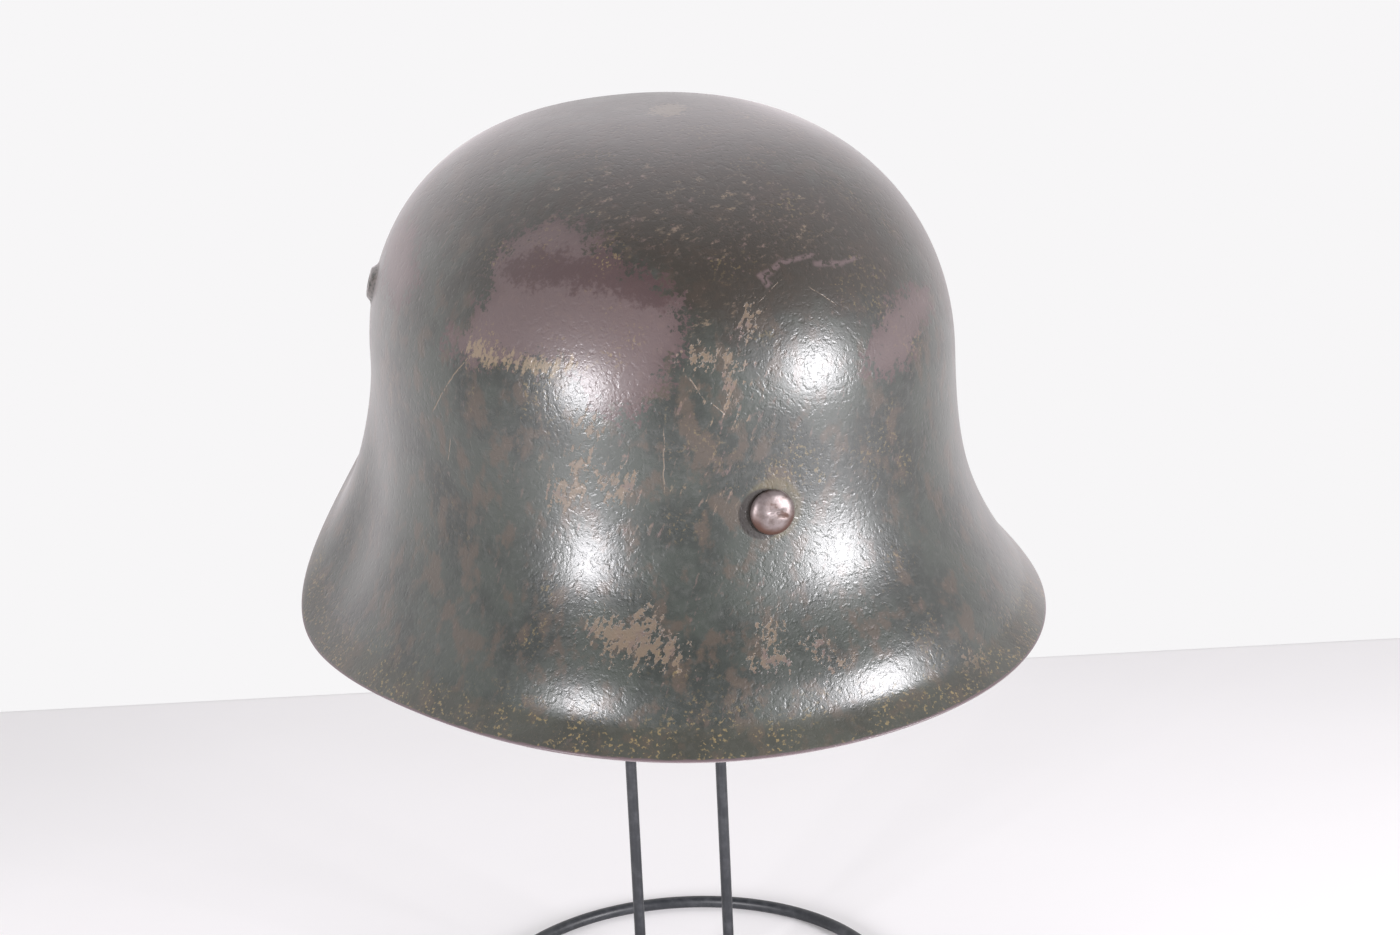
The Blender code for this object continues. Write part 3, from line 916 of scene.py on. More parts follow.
@dataclass
class WireStand:
    """The welded wire stand: base ring, foot bar, two uprights, top bar and top ring."""

    height: float = 318.4 * MM
    ring_wire: float = 2.2 * MM
    bar_wire: float = 2.05 * MM
    upright_wire: float = 1.9 * MM
    base_radius: float = 73.0 * MM
    top_radius: float = 36.0 * MM
    upright_spacing: float = 32.5 * MM
    side_shift: float = 1.0 * MM
    sides: int = 20
    base_steps: int = 144
    top_steps: int = 96
    bead_radius: float = 2.9 * MM

    def ring(self, name: str, radius: float, height: float, steps: int) -> bpy.types.Object:
        """A level ring of round wire: a small circle carried round a large one.

        Args:
            name: its name.
            radius: from the stand's axis to the middle of the wire.
            height: of the middle of the wire.
            steps: sides of the large circle.

        Returns:
            A closed mesh.
        """
        round_ring = round_angles(steps)[None, :]
        round_wire = round_angles(self.sides)[:, None]
        reach = radius + self.ring_wire * np.cos(round_wire)
        points = np.stack([
            self.side_shift + reach * np.cos(round_ring),
            reach * np.sin(round_ring),
            height - self.ring_wire * np.sin(round_wire) + 0 * round_ring,
        ], -1)
        return mesh_object(name, points.reshape(-1, 3), tube_faces(self.sides, steps, closed_rows=True))

    def rod(self, name: str, start: tuple, end: tuple, radius: float) -> bpy.types.Object:
        """A straight round wire with slightly rounded ends: a profile turned about its line.

        Args:
            name: its name.
            start: middle of one end.
            end: middle of the other end.
            radius: of the wire.

        Returns:
            A closed mesh.
        """
        begin, finish = np.array(start, float), np.array(end, float)
        along = unit(begin - finish)
        side = unit(np.cross(along, (0.0, 1.0, 0.0) if abs(along[1]) < 0.9 else (1.0, 0.0, 0.0)))
        other = np.cross(along, side)
        turn = round_angles(self.sides)[None, :, None]
        inset = 0.3 * radius
        rows = ((begin, 0.7), (begin - inset * along, 1.0), (finish + inset * along, 1.0), (finish, 0.7))
        circle = radius * (np.cos(turn) * side + np.sin(turn) * other)
        rings = [middle + share * circle for middle, share in rows]
        points = np.concatenate([np.concatenate(rings).reshape(-1, 3), [begin], [finish]])
        return mesh_object(name, points, tube_faces(len(rows), self.sides))

    def bead(self, name: str, middle: tuple, stretch: tuple) -> bpy.types.Object:
        """A weld bead: a ball of circles of latitude, stretched along the axes.

        Args:
            name: its name.
            middle: its place.
            stretch: its size along each axis, as shares of the bead's radius.

        Returns:
            A closed mesh.
        """
        rows = 9
        tilt = (np.arange(1, rows) / rows * math.pi)[:, None]
        turn = round_angles(self.sides)[None, :]
        reach = np.sin(tilt)
        ball = np.stack([reach * np.cos(turn), reach * np.sin(turn), np.cos(tilt) + 0 * turn], -1)
        ball = np.concatenate([ball.reshape(-1, 3), [(0, 0, 1)], [(0, 0, -1)]])
        points = np.array(middle) + self.bead_radius * ball * np.array(stretch)
        return mesh_object(name, points, tube_faces(rows - 1, self.sides))

    def build(self, material: bpy.types.Material) -> None:
        """Builds the stand in its CAD node's place, all its wires being one solid.

        Args:
            material: its enamel.
        """
        low = self.ring_wire
        high = self.height - self.ring_wire
        stand = self.ring("enamelled_wire_stand", self.base_radius, low, self.base_steps)
        parts = [self.ring("top_ring", self.top_radius, high, self.top_steps)]
        spans = (("foot_bar", self.base_radius, low), ("top_bar", self.top_radius, high))
        for name, radius, height in spans:
            ends = [(self.side_shift + sign * radius, 0, height) for sign in (-1, 1)]
            parts.append(self.rod(name, *ends, self.bar_wire))
            for side, (across, _, _) in enumerate(ends):
                parts.append(self.bead(f"{name}_bead_{side}", (across, 0, height), (0.9, 1.1, 0.74)))
        for sign in (-1, 1):
            across = self.side_shift + sign * self.upright_spacing / 2
            parts.append(self.rod(f"upright_{sign}", (across, 0, low), (across, 0, high), self.upright_wire))
            parts.append(self.bead(f"foot_bead_{sign}", (across, 0, low + 0.4 * MM), (1.0, 0.85, 0.85)))
            parts.append(self.bead(f"top_bead_{sign}", (across, 0, high - 0.4 * MM), (1.0, 0.85, 0.85)))
        boolean(stand, parts, "UNION")
        shade(stand, 38)
        hand_in(stand, "wire_stand", material)


@dataclass(frozen=True)
class Scratch:
    """A straight scratch: where a plane across the helmet cuts its outside, between two ends.

    angle and height give its middle as for a patch, tilt is degrees up to the right, and length and
    width are in millimetres.
    """

    angle: float
    height: float
    tilt: float
    length: float
    width: float = 0.45


SCRATCHES = (
    Scratch(122, 98, 50, 34, 0.7),
    Scratch(163, 80, 88, 22, 0.45),
    Scratch(169, 101, -62, 10),
    Scratch(172, 95, -45, 7),
    Scratch(194, 122, -44, 12),
    Scratch(184, 126, 35, 12, 0.3),
    Scratch(121, 76, 80, 9, 0.6),
    Scratch(60, 70, 40, 22),
    Scratch(268, 60, -50, 26),
    Scratch(330, 120, 25, 20, 0.35),
)

# A thin crooked streak of bare primer, in short runs that meet
STREAKS = (
    Scratch(183.5, 129.0, -66, 6, 3.6),
    Scratch(185.9, 131.6, 25, 11, 3.4),
    Scratch(191.0, 132.8, 3, 16, 2.6),
    Scratch(197.5, 130.0, -11, 12, 3.0),
    Scratch(202.0, 129.4, 2, 14, 2.4),
)


@dataclass(frozen=True)
class Noise:
    """Cloudy noise: the distance between its lumps in millimetres, and how many finer layers it has.

    shift moves it, so that two of a size differ. stretch is how many times longer the lumps are along
    each axis, and lean is the degrees that stretched lumps lean to the left, as seen from behind.
    """

    size: float
    detail: float
    shift: float = 0
    stretch: tuple[float, float, float] = (1.0, 1.0, 1.0)
    lean: float = 0


NOISES = {
    "cloud": Noise(28.0, 5),
    "patchy": Noise(9.0, 3, 0.15),
    "mottle": Noise(7.0, 6, 0.55, (1.0, 1.0, 1.4)),
    "wander": Noise(6.0, 2, 0.3),
    "ragged": Noise(5.0, 6, 0.5),
    "grain": Noise(2.4, 4, 0.2),
    "wrinkle": Noise(2.0, 2.5, 0.6),
    "broken": Noise(1.8, 2, 0.9),
    "leaning": Noise(1.5, 4, 0.7, (1.0, 1.0, 3.2), -24),
    "level": Noise(1.5, 4, 0.4, (2.4, 2.4, 0.9), 12),
    "fine": Noise(1.2, 4, 0.35),
    "speck": Noise(1.2, 3, 0.1),
}

# Noises blended from two of these, by the share of the second
BLENDS = {"torn": ("fine", "ragged", 0.5), "shredded": ("fine", "leaning", 0.65)}


@dataclass(frozen=True)
class WornEdge:
    """The broken edge of a kind of wear, in millimetres.

    rough is how far noise makes the edge wander, soft is how wide its own blend is, and start is how
    far inside the outline it lies.
    """

    wear: Wear
    noise: str
    rough: float
    soft: float
    start: float = 0


WORN_EDGES = {
    "umber": WornEdge(Wear.UMBER, "patchy", 14, 14, -3),
    "flecks": WornEdge(Wear.FLECKS, "ragged", 8, 12, -2),
    "primer": WornEdge(Wear.PRIMER, "torn", 24, 3),
    "primer_heart": WornEdge(Wear.PRIMER, "cloud", 8, 12, 2),
    "maroon": WornEdge(Wear.MAROON, "torn", 14, 5),
    "fringe": WornEdge(Wear.OCHRE, "shredded", 12, 2, 0.8),
    "chip": WornEdge(Wear.CHIP, "shredded", 20, 1.6, 0.6),
}


@dataclass
class PaintTree:
    """A paint's node tree, with the object's own coordinates in metres and the noises made on them."""

    tree: bpy.types.NodeTree
    where: bpy.types.NodeSocket = field(init=False)
    height: bpy.types.NodeSocket = field(init=False)
    noises: dict[str, bpy.types.NodeSocket] = field(init=False)

    def __post_init__(self) -> None:
        """Adds the coordinates, the noises and their blends."""
        self.where = add_node(self.tree, "TexCoord").outputs["Object"]
        self.height = add_node(self.tree, "SeparateXYZ", {0: self.where}).outputs["Z"]
        self.noises = {name: self.cloudy(noise) for name, noise in NOISES.items()}
        for name, (first, second, share) in BLENDS.items():
            inputs = {0: share, 2: self.noises[first], 3: self.noises[second]}
            self.noises[name] = add_node(self.tree, "Mix", inputs, data_type="FLOAT").outputs[0]

    def cloudy(self, noise: Noise) -> bpy.types.NodeSocket:
        """The output of a noise, which is about 0.5 on average."""
        turn = (0, math.radians(noise.lean), 0)
        place = {"Location": (noise.shift,) * 3, "Rotation": turn, "Scale": noise.stretch}
        moved = add_node(self.tree, "Mapping", {"Vector": self.where, **place}, vector_type="TEXTURE")
        lumps = {"Scale": per_metre(noise.size), "Detail": noise.detail, "Roughness": 0.6}
        inputs = {"Vector": moved.outputs[0], **lumps}
        return add_node(self.tree, "TexNoise", inputs, noise_dimensions="3D").outputs["Fac"]

    def mask(self, value: Any, low: float, high: float) -> bpy.types.NodeSocket:
        """A share that goes smoothly from 0 to 1 as a value goes from low to high.

        Args:
            value: an output, or the name of a noise.
            low: where the share is 0.
            high: where the share is 1.

        Returns:
            The share's output.
        """
        inputs = {"Value": self.noises.get(value, value), "From Min": low, "From Max": high}
        return add_node(self.tree, "MapRange", inputs, interpolation_type="SMOOTHSTEP").outputs["Result"]

    def combined(self, operation: str, *values: Any) -> Any:
        """Values combined one after another, as by MULTIPLY or MAXIMUM; one alone is left as it is."""
        total = values[0]
        for value in values[1:]:
            total = add_node(self.tree, "Math", {0: total, 1: value}, operation=operation).outputs[0]
        return total

    def plus(self, value: Any, times: float, other: Any) -> bpy.types.NodeSocket:
        """A value plus so many times another, which is an output or the name of a noise."""
        inputs = {0: self.noises.get(other, other), 1: times, 2: value}
        return add_node(self.tree, "Math", inputs, operation="MULTIPLY_ADD").outputs[0]

    def size_of(self, value: Any) -> bpy.types.NodeSocket:
        """A value without its sign."""
        return add_node(self.tree, "Math", {0: value}, operation="ABSOLUTE").outputs[0]

    def coat(self, under: Any, colour: Any, *masks: Any) -> bpy.types.NodeSocket:
        """A colour laid over another.

        Args:
            under: hex string or output of the colour below.
            colour: hex string or output of the colour above.
            masks: outputs or plain shares, whose product is how much of it shows.

        Returns:
            The mixed colour's output.
        """
        below, above = (linear(each) if isinstance(each, str) else each for each in (under, colour))
        inputs = {0: self.combined("MULTIPLY", *masks), 6: below, 7: above}
        return add_node(self.tree, "Mix", inputs, data_type="RGBA").outputs[2]

    def stored(self, wear: Wear) -> bpy.types.NodeSocket:
        """A kind of wear as the shell's mesh holds it."""
        return add_node(self.tree, "Attribute", attribute_name=wear.value).outputs["Fac"]

    def worn(self, edge: WornEdge) -> bpy.types.NodeSocket:
        """Mask of a kind of wear with its broken edge."""
        moved = self.plus(self.stored(edge.wear), 2 * edge.rough, edge.noise)
        middle = edge.rough + edge.start
        return self.mask(moved, middle - edge.soft / 2, middle + edge.soft / 2)

    def scratches(self, shape: ShellShape, marks: tuple[Scratch, ...]) -> bpy.types.NodeSocket:
        """Mask of straight scratches, each a little bent, and all broken by noise.

        A scratch shows where the distance to its plane is under half its width, and the distance along
        it and out of the wall are within its length.

        Args:
            shape: the shell's form, which gives each scratch its place.
            marks: the scratches.

        Returns:
            The mask's output.
        """
        bend = 0.8 * MM
        found = []
        for scratch in marks:
            place = shape.place(scratch.angle, scratch.height * MM)
            tilt = math.radians(scratch.tilt)
            along = math.cos(tilt) * place.right + math.sin(tilt) * place.up
            across = math.cos(tilt) * place.up - math.sin(tilt) * place.right
            from_place = {0: self.where, 1: tuple(place.point)}
            away = add_node(self.tree, "VectorMath", from_place, operation="SUBTRACT").outputs[0]
            axes = ({0: away, 1: tuple(axis)} for axis in (along, across, place.out))
            parts = (add_node(self.tree, "VectorMath", axis, operation="DOT_PRODUCT") for axis in axes)
            run, side, out = (part.outputs["Value"] for part in parts)
            bent = self.combined("SUBTRACT", self.plus(side, 2 * bend, "wander"), bend)
            width, length = scratch.width * MM, scratch.length * MM
            thin = self.mask(self.size_of(bent), 0.5 * width, 0.1 * width)
            within = self.mask(self.size_of(run), 0.5 * length, 0.35 * length)
            near = self.mask(out, -30 * MM, -20 * MM)
            found.append(self.combined("MULTIPLY", thin, within, near))
        return self.combined("MULTIPLY", self.combined("MAXIMUM", *found), self.mask("broken", 0.38, 0.5))

    def disc(self, place: WallPlace, moved: tuple[float, float], outer: float,
             inner: float) -> bpy.types.NodeSocket:
        """Mask of a round spot on the wall, in millimetres.

        Args:
            place: the place that it lies near.
            moved: how far its middle lies to the right of the place, and up from it.
            outer: the distance to its middle where it ends.
            inner: the distance where it is full.

        Returns:
            The mask's output.
        """
        middle = place.point + MM * (moved[0] * place.right + moved[1] * place.up)
        inputs = {0: self.where, 1: tuple(middle)}
        gap = add_node(self.tree, "VectorMath", inputs, operation="DISTANCE").outputs["Value"]
        return self.mask(gap, outer * MM, inner * MM)


@dataclass(frozen=True)
class FieldGreenPaint:
    """Field green paint over mauve primer on pressed steel.

    The paint is satin, brushed or sprayed on thick enough to wrinkle, so lamps show in it as a broad
    glow broken into small glints. Where it has worn through, the duller primer shows, and rubbed
    places turn brown and tan. The last number in a coat is how much of it shows at its fullest.
    """

    green: str = "#343934"
    green_deep: str = "#252926"
    green_dusty: str = "#444643"
    umber: str = "#2a231c"
    mottle: str = "#493e35"
    maroon: str = "#3a2728"
    # Lighter colour for the vents' flanks: partly rubbed paint, partly painted haze, a reflection of the
    # bright surroundings.
    rubbed: str = "#6c6563"
    primer: str = "#574949"
    primer_deep: str = "#453535"
    primer_tan: str = "#5f4f4b"
    tan: str = "#675848"
    fleck: str = "#786957"
    ochre: str = "#7b6b49"
    fringe: str = "#7a6b55"
    rim_olive: str = "#39372c"
    raw_steel: str = "#55474a"
    # Painted shadow with some dirt: a dark crescent on the wall beside each rivet's head.
    rivet_shadow_and_grime: str = "#150e09"
    halo: str = "#5b5238"
    inside: str = "#454a41"
    dust: str = "#e4d8da"
    dust_weight: float = 0.42
    dust_roughness: float = 0.45
    wax_weight: float = 0.6
    wax_roughness: float = 0.25
    specular_level: float = 0.44
    wrinkle_height: float = 0.09 * MM
    level_flecks: tuple[float, float] = (0.265, 0.285)
    brown_crown: tuple[float, float] = (0.25, 0.30)

    def masks(self, work: PaintTree, shape: ShellShape) -> dict[str, Any]:
        """Where each kind of wear lies, for the colour, the roughness and the relief alike.

        Args:
            work: the paint's tree.
            shape: the shell's form.

        Returns:
            Outputs by name. The crown is umber too, in clouds, from the heights of brown_crown up.
        """
        found = {name: work.worn(edge) for name, edge in WORN_EDGES.items()}
        high = work.mask(work.height, *self.brown_crown)
        crown = work.combined("MULTIPLY", high, work.mask("cloud", 0.3, 0.55), 0.7)
        found["umber"] = work.combined("MAXIMUM", found["umber"], crown)
        found["rim_band"] = work.mask(work.plus(work.stored(Wear.RIM), 8.0, "ragged"), 16.5, 13.5)
        found["inside"] = work.stored(Wear.INSIDE)
        found["streaks"] = work.scratches(shape, STREAKS)
        found["scratches"] = work.scratches(shape, SCRATCHES)
        return found

    def ground(self, work: PaintTree, masks: dict[str, Any]) -> Any:
        """The green paint: deeper in clouds, dusty in grains, mottled brown, and umber where it is old."""
        colour = work.coat(self.green, self.green_deep, work.mask("cloud", 0.42, 0.62))
        colour = work.coat(colour, self.green_dusty, work.mask("grain", 0.45, 0.75), 0.55)
        colour = work.coat(colour, self.mottle, work.mask("mottle", 0.50, 0.62), 0.65)
        return work.coat(colour, self.umber, masks["umber"], 0.8)

    def flecked(self, work: PaintTree, masks: dict[str, Any], colour: Any) -> Any:
        """The paint with thin rubbed marks all over, and pale flecks in their own patches.

        The flecks lean low on the shell and lie level from the heights of level_flecks up.
        """
        rubbed_tone = work.coat(self.tan, self.primer_tan, work.mask("patchy", 0.4, 0.6))
        rubbed = (work.mask("leaning", 0.60, 0.68), work.mask("patchy", 0.42, 0.6))
        colour = work.coat(colour, rubbed_tone, *rubbed, 0.5)
        upper = work.mask(work.height, *self.level_flecks)
        kinds = {0: upper, 2: work.mask("leaning", 0.56, 0.66), 3: work.mask("level", 0.53, 0.66)}
        flecks = add_node(work.tree, "Mix", kinds, data_type="FLOAT").outputs[0]
        thinned = {"Value": work.noises["ragged"], "From Min": 0.4, "From Max": 0.6, "To Min": 0.3}
        dense = add_node(work.tree, "MapRange", thinned).outputs[0]
        fleck_tone = work.coat(self.fleck, self.primer_tan, work.mask("patchy", 0.4, 0.6))
        return work.coat(colour, fleck_tone, flecks, masks["flecks"], work.mask("fine", 0.40, 0.60), dense)

    def worn_through(self, work: PaintTree, masks: dict[str, Any], colour: Any) -> Any:
        """The paint worn down to the mauve primer, with tan fringes and streaks, and chipped."""
        mauve = work.coat(self.primer_deep, self.primer, masks["primer_heart"])
        mauve = work.coat(mauve, self.primer_tan, work.mask("grain", 0.5, 0.8), 0.6)
        mauve = work.coat(mauve, self.maroon, masks["maroon"], 0.75)
        colour = work.coat(colour, mauve, masks["primer"], 0.88)
        colour = work.coat(colour, self.fringe, masks["fringe"], 0.7)
        colour = work.coat(colour, self.primer, masks["streaks"], 0.9)
        chip_tone = work.coat(self.tan, self.primer_tan, work.mask("patchy", 0.52, 0.7))
        return work.coat(colour, chip_tone, masks["chip"], 0.75)

    def rim_worn(self, work: PaintTree, masks: dict[str, Any], colour: Any) -> Any:
        """The paint with an olive band along the rim, and ochre specks near it and a few elsewhere."""
        colour = work.coat(colour, self.rim_olive, masks["rim_band"], 0.4)
        speck = work.mask("speck", 0.56, 0.64)
        near_rim = (work.mask(work.stored(Wear.RIM), 22, 6), work.mask("patchy", 0.42, 0.58))
        colour = work.coat(colour, self.ochre, speck, *near_rim, 0.8)
        return work.coat(colour, self.ochre, speck, work.mask("cloud", 0.55, 0.7), 0.5)

    def round_fittings(self, work: PaintTree, shape: ShellShape, vent: Vent, colour: Any) -> Any:
        """The paint with an ochre halo round each rivet, a dark crescent beside each that is painted shadow
        of its head with some dirt, and vent flanks lightened partly by rubbing and partly by painted haze.
        """
        for rivet in RIVET_PLACES:
            spot = shape.place(rivet.angle, rivet.height)
            colour = work.coat(colour, self.halo, work.disc(spot, (0.6, 1.0), 10.2, 8.2), 0.5)
            # Painted shadow of the rivet's head, with some dirt: a dark crescent to one side of it.
            colour = work.coat(colour, self.rivet_shadow_and_grime, work.disc(spot, (-2.7, -0.3), 8.2, 7.3), 0.95)
        for angle in (vent.angle, -vent.angle):
            # Lighter vent flanks: partly rubbed paint, partly painted haze that keeps the bosses from showing
            # dark.
            flank = work.disc(shape.place(angle, vent.height), (0, 0), 8.4, 6.0)
            colour = work.coat(colour, self.rubbed, flank, work.mask("fine", 0.38, 0.55), 0.7)
        return colour

    def lined(self, work: PaintTree, masks: dict[str, Any], colour: Any) -> Any:
        """The paint with plain dull paint inside the shell, and the sheet's raw edge bare."""
        lining = work.coat(self.inside, self.green_deep, work.mask("cloud", 0.4, 0.65))
        lining = work.coat(lining, self.umber, work.mask("level", 0.55, 0.7), 0.5)
        colour = work.coat(colour, lining, masks["inside"])
        bare = work.mask(work.plus(work.stored(Wear.RIM), -1.2, "ragged"), 0.25, -0.1)
        return work.coat(colour, self.raw_steel, bare)

    def roughness(self, work: PaintTree, masks: dict[str, Any]) -> bpy.types.NodeSocket:
        """How dull the surface is: cloudy paint, duller where it is old, worn through or inside."""
        rough = work.plus(0.36, 0.14, "cloud")
        bare = work.combined("MAXIMUM", masks["primer"], masks["chip"])
        duller = ((masks["umber"], 0.05), (bare, 0.10), (masks["rim_band"], 0.08), (masks["inside"], 0.15))
        for mask, more in duller:
            rough = work.plus(rough, more, mask)
        return rough

    def relief(self, work: PaintTree, masks: dict[str, Any]) -> bpy.types.NodeSocket:
        """Bumped normals: the paint's wrinkles with sharp ridges, and sunken chips and scratches."""
        ridged = work.size_of(work.combined("SUBTRACT", work.noises["wrinkle"], 0.5))
        rise = work.plus(work.noises["wrinkle"], -2.0, ridged)
        rise = work.plus(rise, -0.5, masks["chip"])
        rise = work.plus(rise, -0.6, masks["scratches"])
        inputs = {"Height": rise, "Strength": 1.0, "Distance": self.wrinkle_height}
        return add_node(work.tree, "Bump", inputs).outputs[0]

    def material(self, shape: ShellShape, vent: Vent) -> bpy.types.Material:
        """The paint as a material.

        Args:
            shape: the shell's form.
            vent: the size and place of its vents, whose flanks are rubbed.

        Returns:
            The material.
        """
        made, tree, shader = new_material("field_green_paint")
        work = PaintTree(tree)
        masks = self.masks(work, shape)
        colour = self.ground(work, masks)
        colour = self.flecked(work, masks, colour)
        colour = self.worn_through(work, masks, colour)
        colour = self.rim_worn(work, masks, colour)
        colour = self.round_fittings(work, shape, vent, colour)
        colour = work.coat(colour, self.tan, masks["scratches"], 0.9)
        tree.links.new(self.lined(work, masks, colour), shader.inputs["Base Color"])
        tree.links.new(self.roughness(work, masks), shader.inputs["Roughness"])
        shader.inputs["Specular IOR Level"].default_value = self.specular_level
        shader.inputs["Coat Weight"].default_value = self.wax_weight
        shader.inputs["Coat Roughness"].default_value = self.wax_roughness
        shader.inputs["Sheen Weight"].default_value = self.dust_weight
        shader.inputs["Sheen Roughness"].default_value = self.dust_roughness
        shader.inputs["Sheen Tint"].default_value = linear(self.dust)
        bumped = self.relief(work, masks)
        for name in ("Normal", "Coat Normal"):
            tree.links.new(bumped, shader.inputs[name])
        return made


@dataclass(frozen=True)
class WornRivetSteel:
    """Bare worn steel that has lost its paint: bright where rubbed, with rust in blotches and low down."""

    bright: str = "#7b7170"
    dull: str = "#594d4a"
    rust: str = "#4a3128"
    blotch_mm: float = 3.0
    pit_mm: float = 0.6
    pit_depth: float = 0.03 * MM

    def material(self) -> bpy.types.Material:
        """The steel as a material."""
        made, tree, shader = new_material("worn_rivet_steel")
        where = add_node(tree, "TexCoord").outputs["Object"]
        blotch = {"Vector": where, "Scale": per_metre(self.blotch_mm), "Detail": 4, "Roughness": 0.6}
        cloud = add_node(tree, "TexNoise", blotch).outputs["Fac"]
        share = add_node(tree, "MapRange", {"Value": cloud, "From Min": 0.35, "From Max": 0.6}).outputs[0]
        tones = {0: share, 6: linear(self.dull), 7: linear(self.bright)}
        steel = add_node(tree, "Mix", tones, data_type="RGBA")
        blotches = add_node(tree, "MapRange", {"Value": cloud, "From Min": 0.42, "From Max": 0.3}).outputs[0]
        low = add_node(tree, "Attribute", attribute_name=Rivet.rust_name).outputs["Fac"]
        stain = add_node(tree, "Math", {0: blotches, 1: low}, operation="MAXIMUM").outputs[0]
        mixed = add_node(tree, "Mix", {0: stain, 6: steel.outputs[2], 7: linear(self.rust)}, data_type="RGBA")
        tree.links.new(mixed.outputs[2], shader.inputs["Base Color"])
        metal = add_node(tree, "MapRange", {"Value": stain, "To Min": 0.55, "To Max": 0.2}).outputs["Result"]
        tree.links.new(metal, shader.inputs["Metallic"])
        rough = add_node(tree, "MapRange", {"Value": stain, "To Min": 0.42, "To Max": 0.6}).outputs["Result"]
        tree.links.new(rough, shader.inputs["Roughness"])
        noise_bump(tree, shader, per_metre(self.pit_mm), 3, self.pit_depth)
        return made


@dataclass(frozen=True)
class BlackWireEnamel:
    """Dipped black enamel on mild steel wire: even, satin, a little blue, and faintly dusty."""

    black: str = "#27292d"
    dusty: str = "#414246"
    dust_mm: float = 4.0
    sag_mm: float = 1.2
    sag_height: float = 0.02 * MM

    def material(self) -> bpy.types.Material:
        """The enamel as a material."""
        made, tree, shader = new_material("black_wire_enamel")
        where = add_node(tree, "TexCoord").outputs["Object"]
        dust = {"Vector": where, "Scale": per_metre(self.dust_mm), "Detail": 5, "Roughness": 0.65}
        cloud = add_node(tree, "TexNoise", dust).outputs["Fac"]
        share = add_node(tree, "MapRange", {"Value": cloud, "From Min": 0.45, "From Max": 0.75}).outputs[0]
        tones = {0: share, 6: linear(self.black), 7: linear(self.dusty)}
        mixed = add_node(tree, "Mix", tones, data_type="RGBA")
        tree.links.new(mixed.outputs[2], shader.inputs["Base Color"])
        rough = add_node(tree, "MapRange", {"Value": cloud, "To Min": 0.34, "To Max": 0.52}).outputs["Result"]
        tree.links.new(rough, shader.inputs["Roughness"])
        noise_bump(tree, shader, per_metre(self.sag_mm), 2, self.sag_height)
        return made


@dataclass(frozen=True)
class SoftLamp:
    """A square soft lamp: degrees round from +Y towards +X, then metres, and its power in watts."""

    name: str
    bearing: float
    distance: float
    height: float
    size: float
    power: float
    tint: str = "#fdfbff"


LAMPS = (
    SoftLamp("lamp_left", 51, 1.0, 0.345, 0.27, 11.0),
    SoftLamp("lamp_right", -34, 1.0, 0.345, 0.30, 12.2),
)


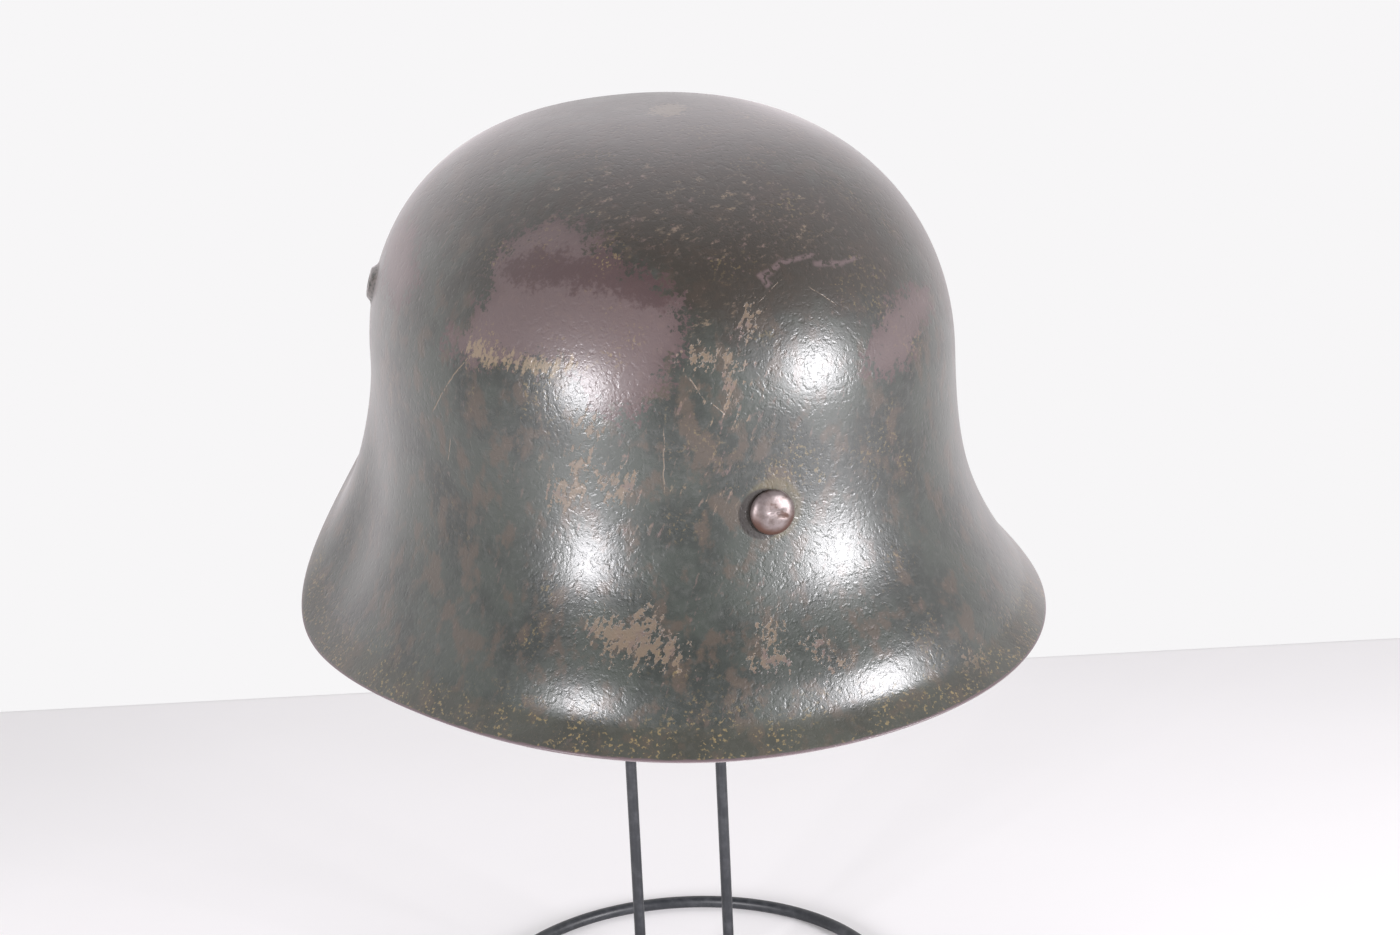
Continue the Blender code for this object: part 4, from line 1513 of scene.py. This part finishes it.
@dataclass
class Studio:
    """A pale table before a pale backdrop, two soft lamps and the camera."""

    view_bearing: float = 17.62
    view_elevation: float = 18.89
    view_roll: float = -2.59
    camera_place: tuple[float, float, float] = (0.2763, 0.9095, 0.5260)
    focal_mm: float = 77.14
    sensor_mm: float = 36.0
    aim: tuple[float, float, float] = (0.0, 0.0, 0.24)
    table_behind: float = 0.306
    table_before: float = 2.2
    table_width: float = 3.6
    table_thickness: float = 0.02
    table_edge: float = 14 * MM
    table_bearing: float = 16.5
    table_colour: str = "#e6e4e5"
    table_glow: float = 0.13
    cloth_lumps_per_metre: float = 9.0
    cloth_lump_height: float = 4 * MM
    backdrop: str = "#f7f6f7"
    room: str = "#5a5958"
    backdrop_elevation: float = 3
    backdrop_fade: tuple[float, float] = (-0.42, 0.2)

    def direction(self, bearing: float, elevation: float = 0) -> np.ndarray:
        """Unit direction from a bearing round from +Y towards +X and an elevation, in degrees."""
        flat, rise = math.radians(bearing), math.radians(elevation)
        return np.array([math.sin(flat) * math.cos(rise), math.cos(flat) * math.cos(rise), math.sin(rise)])

    def camera(self) -> None:
        """The camera, looking along the photograph's direction, with its small roll."""
        back = self.direction(self.view_bearing, self.view_elevation)
        level = unit(np.cross((0.0, 0.0, 1.0), back))
        above = np.cross(back, level)
        roll = math.radians(self.view_roll)
        right = math.cos(roll) * level + math.sin(roll) * above
        up = np.cross(back, right)
        data = bpy.data.cameras.new("camera")
        data.lens = self.focal_mm
        data.sensor_width = self.sensor_mm
        camera = bpy.data.objects.new("camera", data)
        rotation = Matrix([Vector(axis) for axis in (right, up, back)]).transposed().to_4x4()
        camera.matrix_world = Matrix.Translation(Vector(self.camera_place)) @ rotation
        bpy.context.scene.collection.objects.link(camera)
        bpy.context.scene.camera = camera

    def lamps(self) -> None:
        """The soft lamps, each facing the helmet."""
        for lamp in LAMPS:
            data = bpy.data.lights.new(lamp.name, "AREA")
            data.shape = "SQUARE"
            data.size = lamp.size
            data.energy = lamp.power
            data.color = linear(lamp.tint)[:3]
            place = Vector(self.direction(lamp.bearing) * lamp.distance) + Vector((0, 0, lamp.height))
            turned = (place - Vector(self.aim)).to_track_quat("Z", "Y").to_matrix().to_4x4()
            light = bpy.data.objects.new(lamp.name, data)
            light.matrix_world = Matrix.Translation(place) @ turned
            bpy.context.scene.collection.objects.link(light)

    def table(self) -> None:
        """The table: a thin slab whose far edge crosses the picture behind the helmet."""
        ahead = self.direction(self.table_bearing)
        side = np.cross(ahead, (0.0, 0.0, 1.0))
        half = self.table_width / 2
        ends = ((-self.table_behind, -half), (-self.table_behind, half), (self.table_before, half),
                (self.table_before, -half))
        top = np.array([along * ahead + across * side for along, across in ends])
        points = np.concatenate([top, top - (0, 0, self.table_thickness)])
        faces = [[3, 2, 1, 0], [4, 5, 6, 7]] + [[a, (a + 1) % 4, (a + 1) % 4 + 4, a + 4] for a in range(4)]
        table = mesh_object("table", points, faces)
        bevel = table.modifiers.new("edge", "BEVEL")
        bevel.width = self.table_edge
        bevel.segments = 8
        material, tree, shader = new_material("pale_table_cloth")
        noise_bump(tree, shader, self.cloth_lumps_per_metre, 3, self.cloth_lump_height, 0.25)
        shader.inputs["Base Color"].default_value = linear(self.table_colour)
        shader.inputs["Roughness"].default_value = 0.75
        shader.inputs["Specular IOR Level"].default_value = 0.2
        shader.inputs["Emission Color"].default_value = linear(self.table_colour)
        shader.inputs["Emission Strength"].default_value = self.table_glow
        table.data.materials.append(material)

    def world(self) -> None:
        """Light from all round: a pale backdrop beyond the helmet, and a dim room above and on this side.

        The share of backdrop is taken from how far a direction points away from the camera's side.
        """
        world = bpy.data.worlds.new("studio")
        world.use_nodes = True
        tree = world.node_tree
        away = tuple(-self.direction(self.view_bearing, self.backdrop_elevation))
        where = add_node(tree, "TexCoord").outputs["Generated"]
        facing = add_node(tree, "VectorMath", {0: where, 1: away}, operation="DOT_PRODUCT").outputs["Value"]
        start, end = self.backdrop_fade
        fade = {"Value": facing, "From Min": start, "From Max": end}
        share = add_node(tree, "MapRange", fade, interpolation_type="SMOOTHSTEP").outputs["Result"]
        inputs = {0: share, 6: linear(self.room), 7: linear(self.backdrop)}
        colour = add_node(tree, "Mix", inputs, data_type="RGBA").outputs[2]
        tree.links.new(colour, tree.nodes["Background"].inputs["Color"])
        bpy.context.scene.world = world

    def build(self) -> None:
        """Sets up everything round the helmet, and plain colour handling."""
        self.camera()
        self.lamps()
        self.table()
        self.world()
        bpy.context.scene.view_settings.view_transform = "Standard"


def main() -> None:
    """Builds the studio, the shell, its rivets and the stand."""
    logging.basicConfig(level=logging.INFO, format="%(relativeCreated)d ms %(name)s: %(message)s")
    Studio().build()
    shape = ShellShape()
    shell = SteelShell(shape)
    shell.build(FieldGreenPaint().material(shape, shell.vent))
    steel = WornRivetSteel().material()
    for place in RIVET_PLACES:
        Rivet(shape, place).build(steel)
    WireStand().build(BlackWireEnamel().material())


if __name__ == "__main__":
    main()
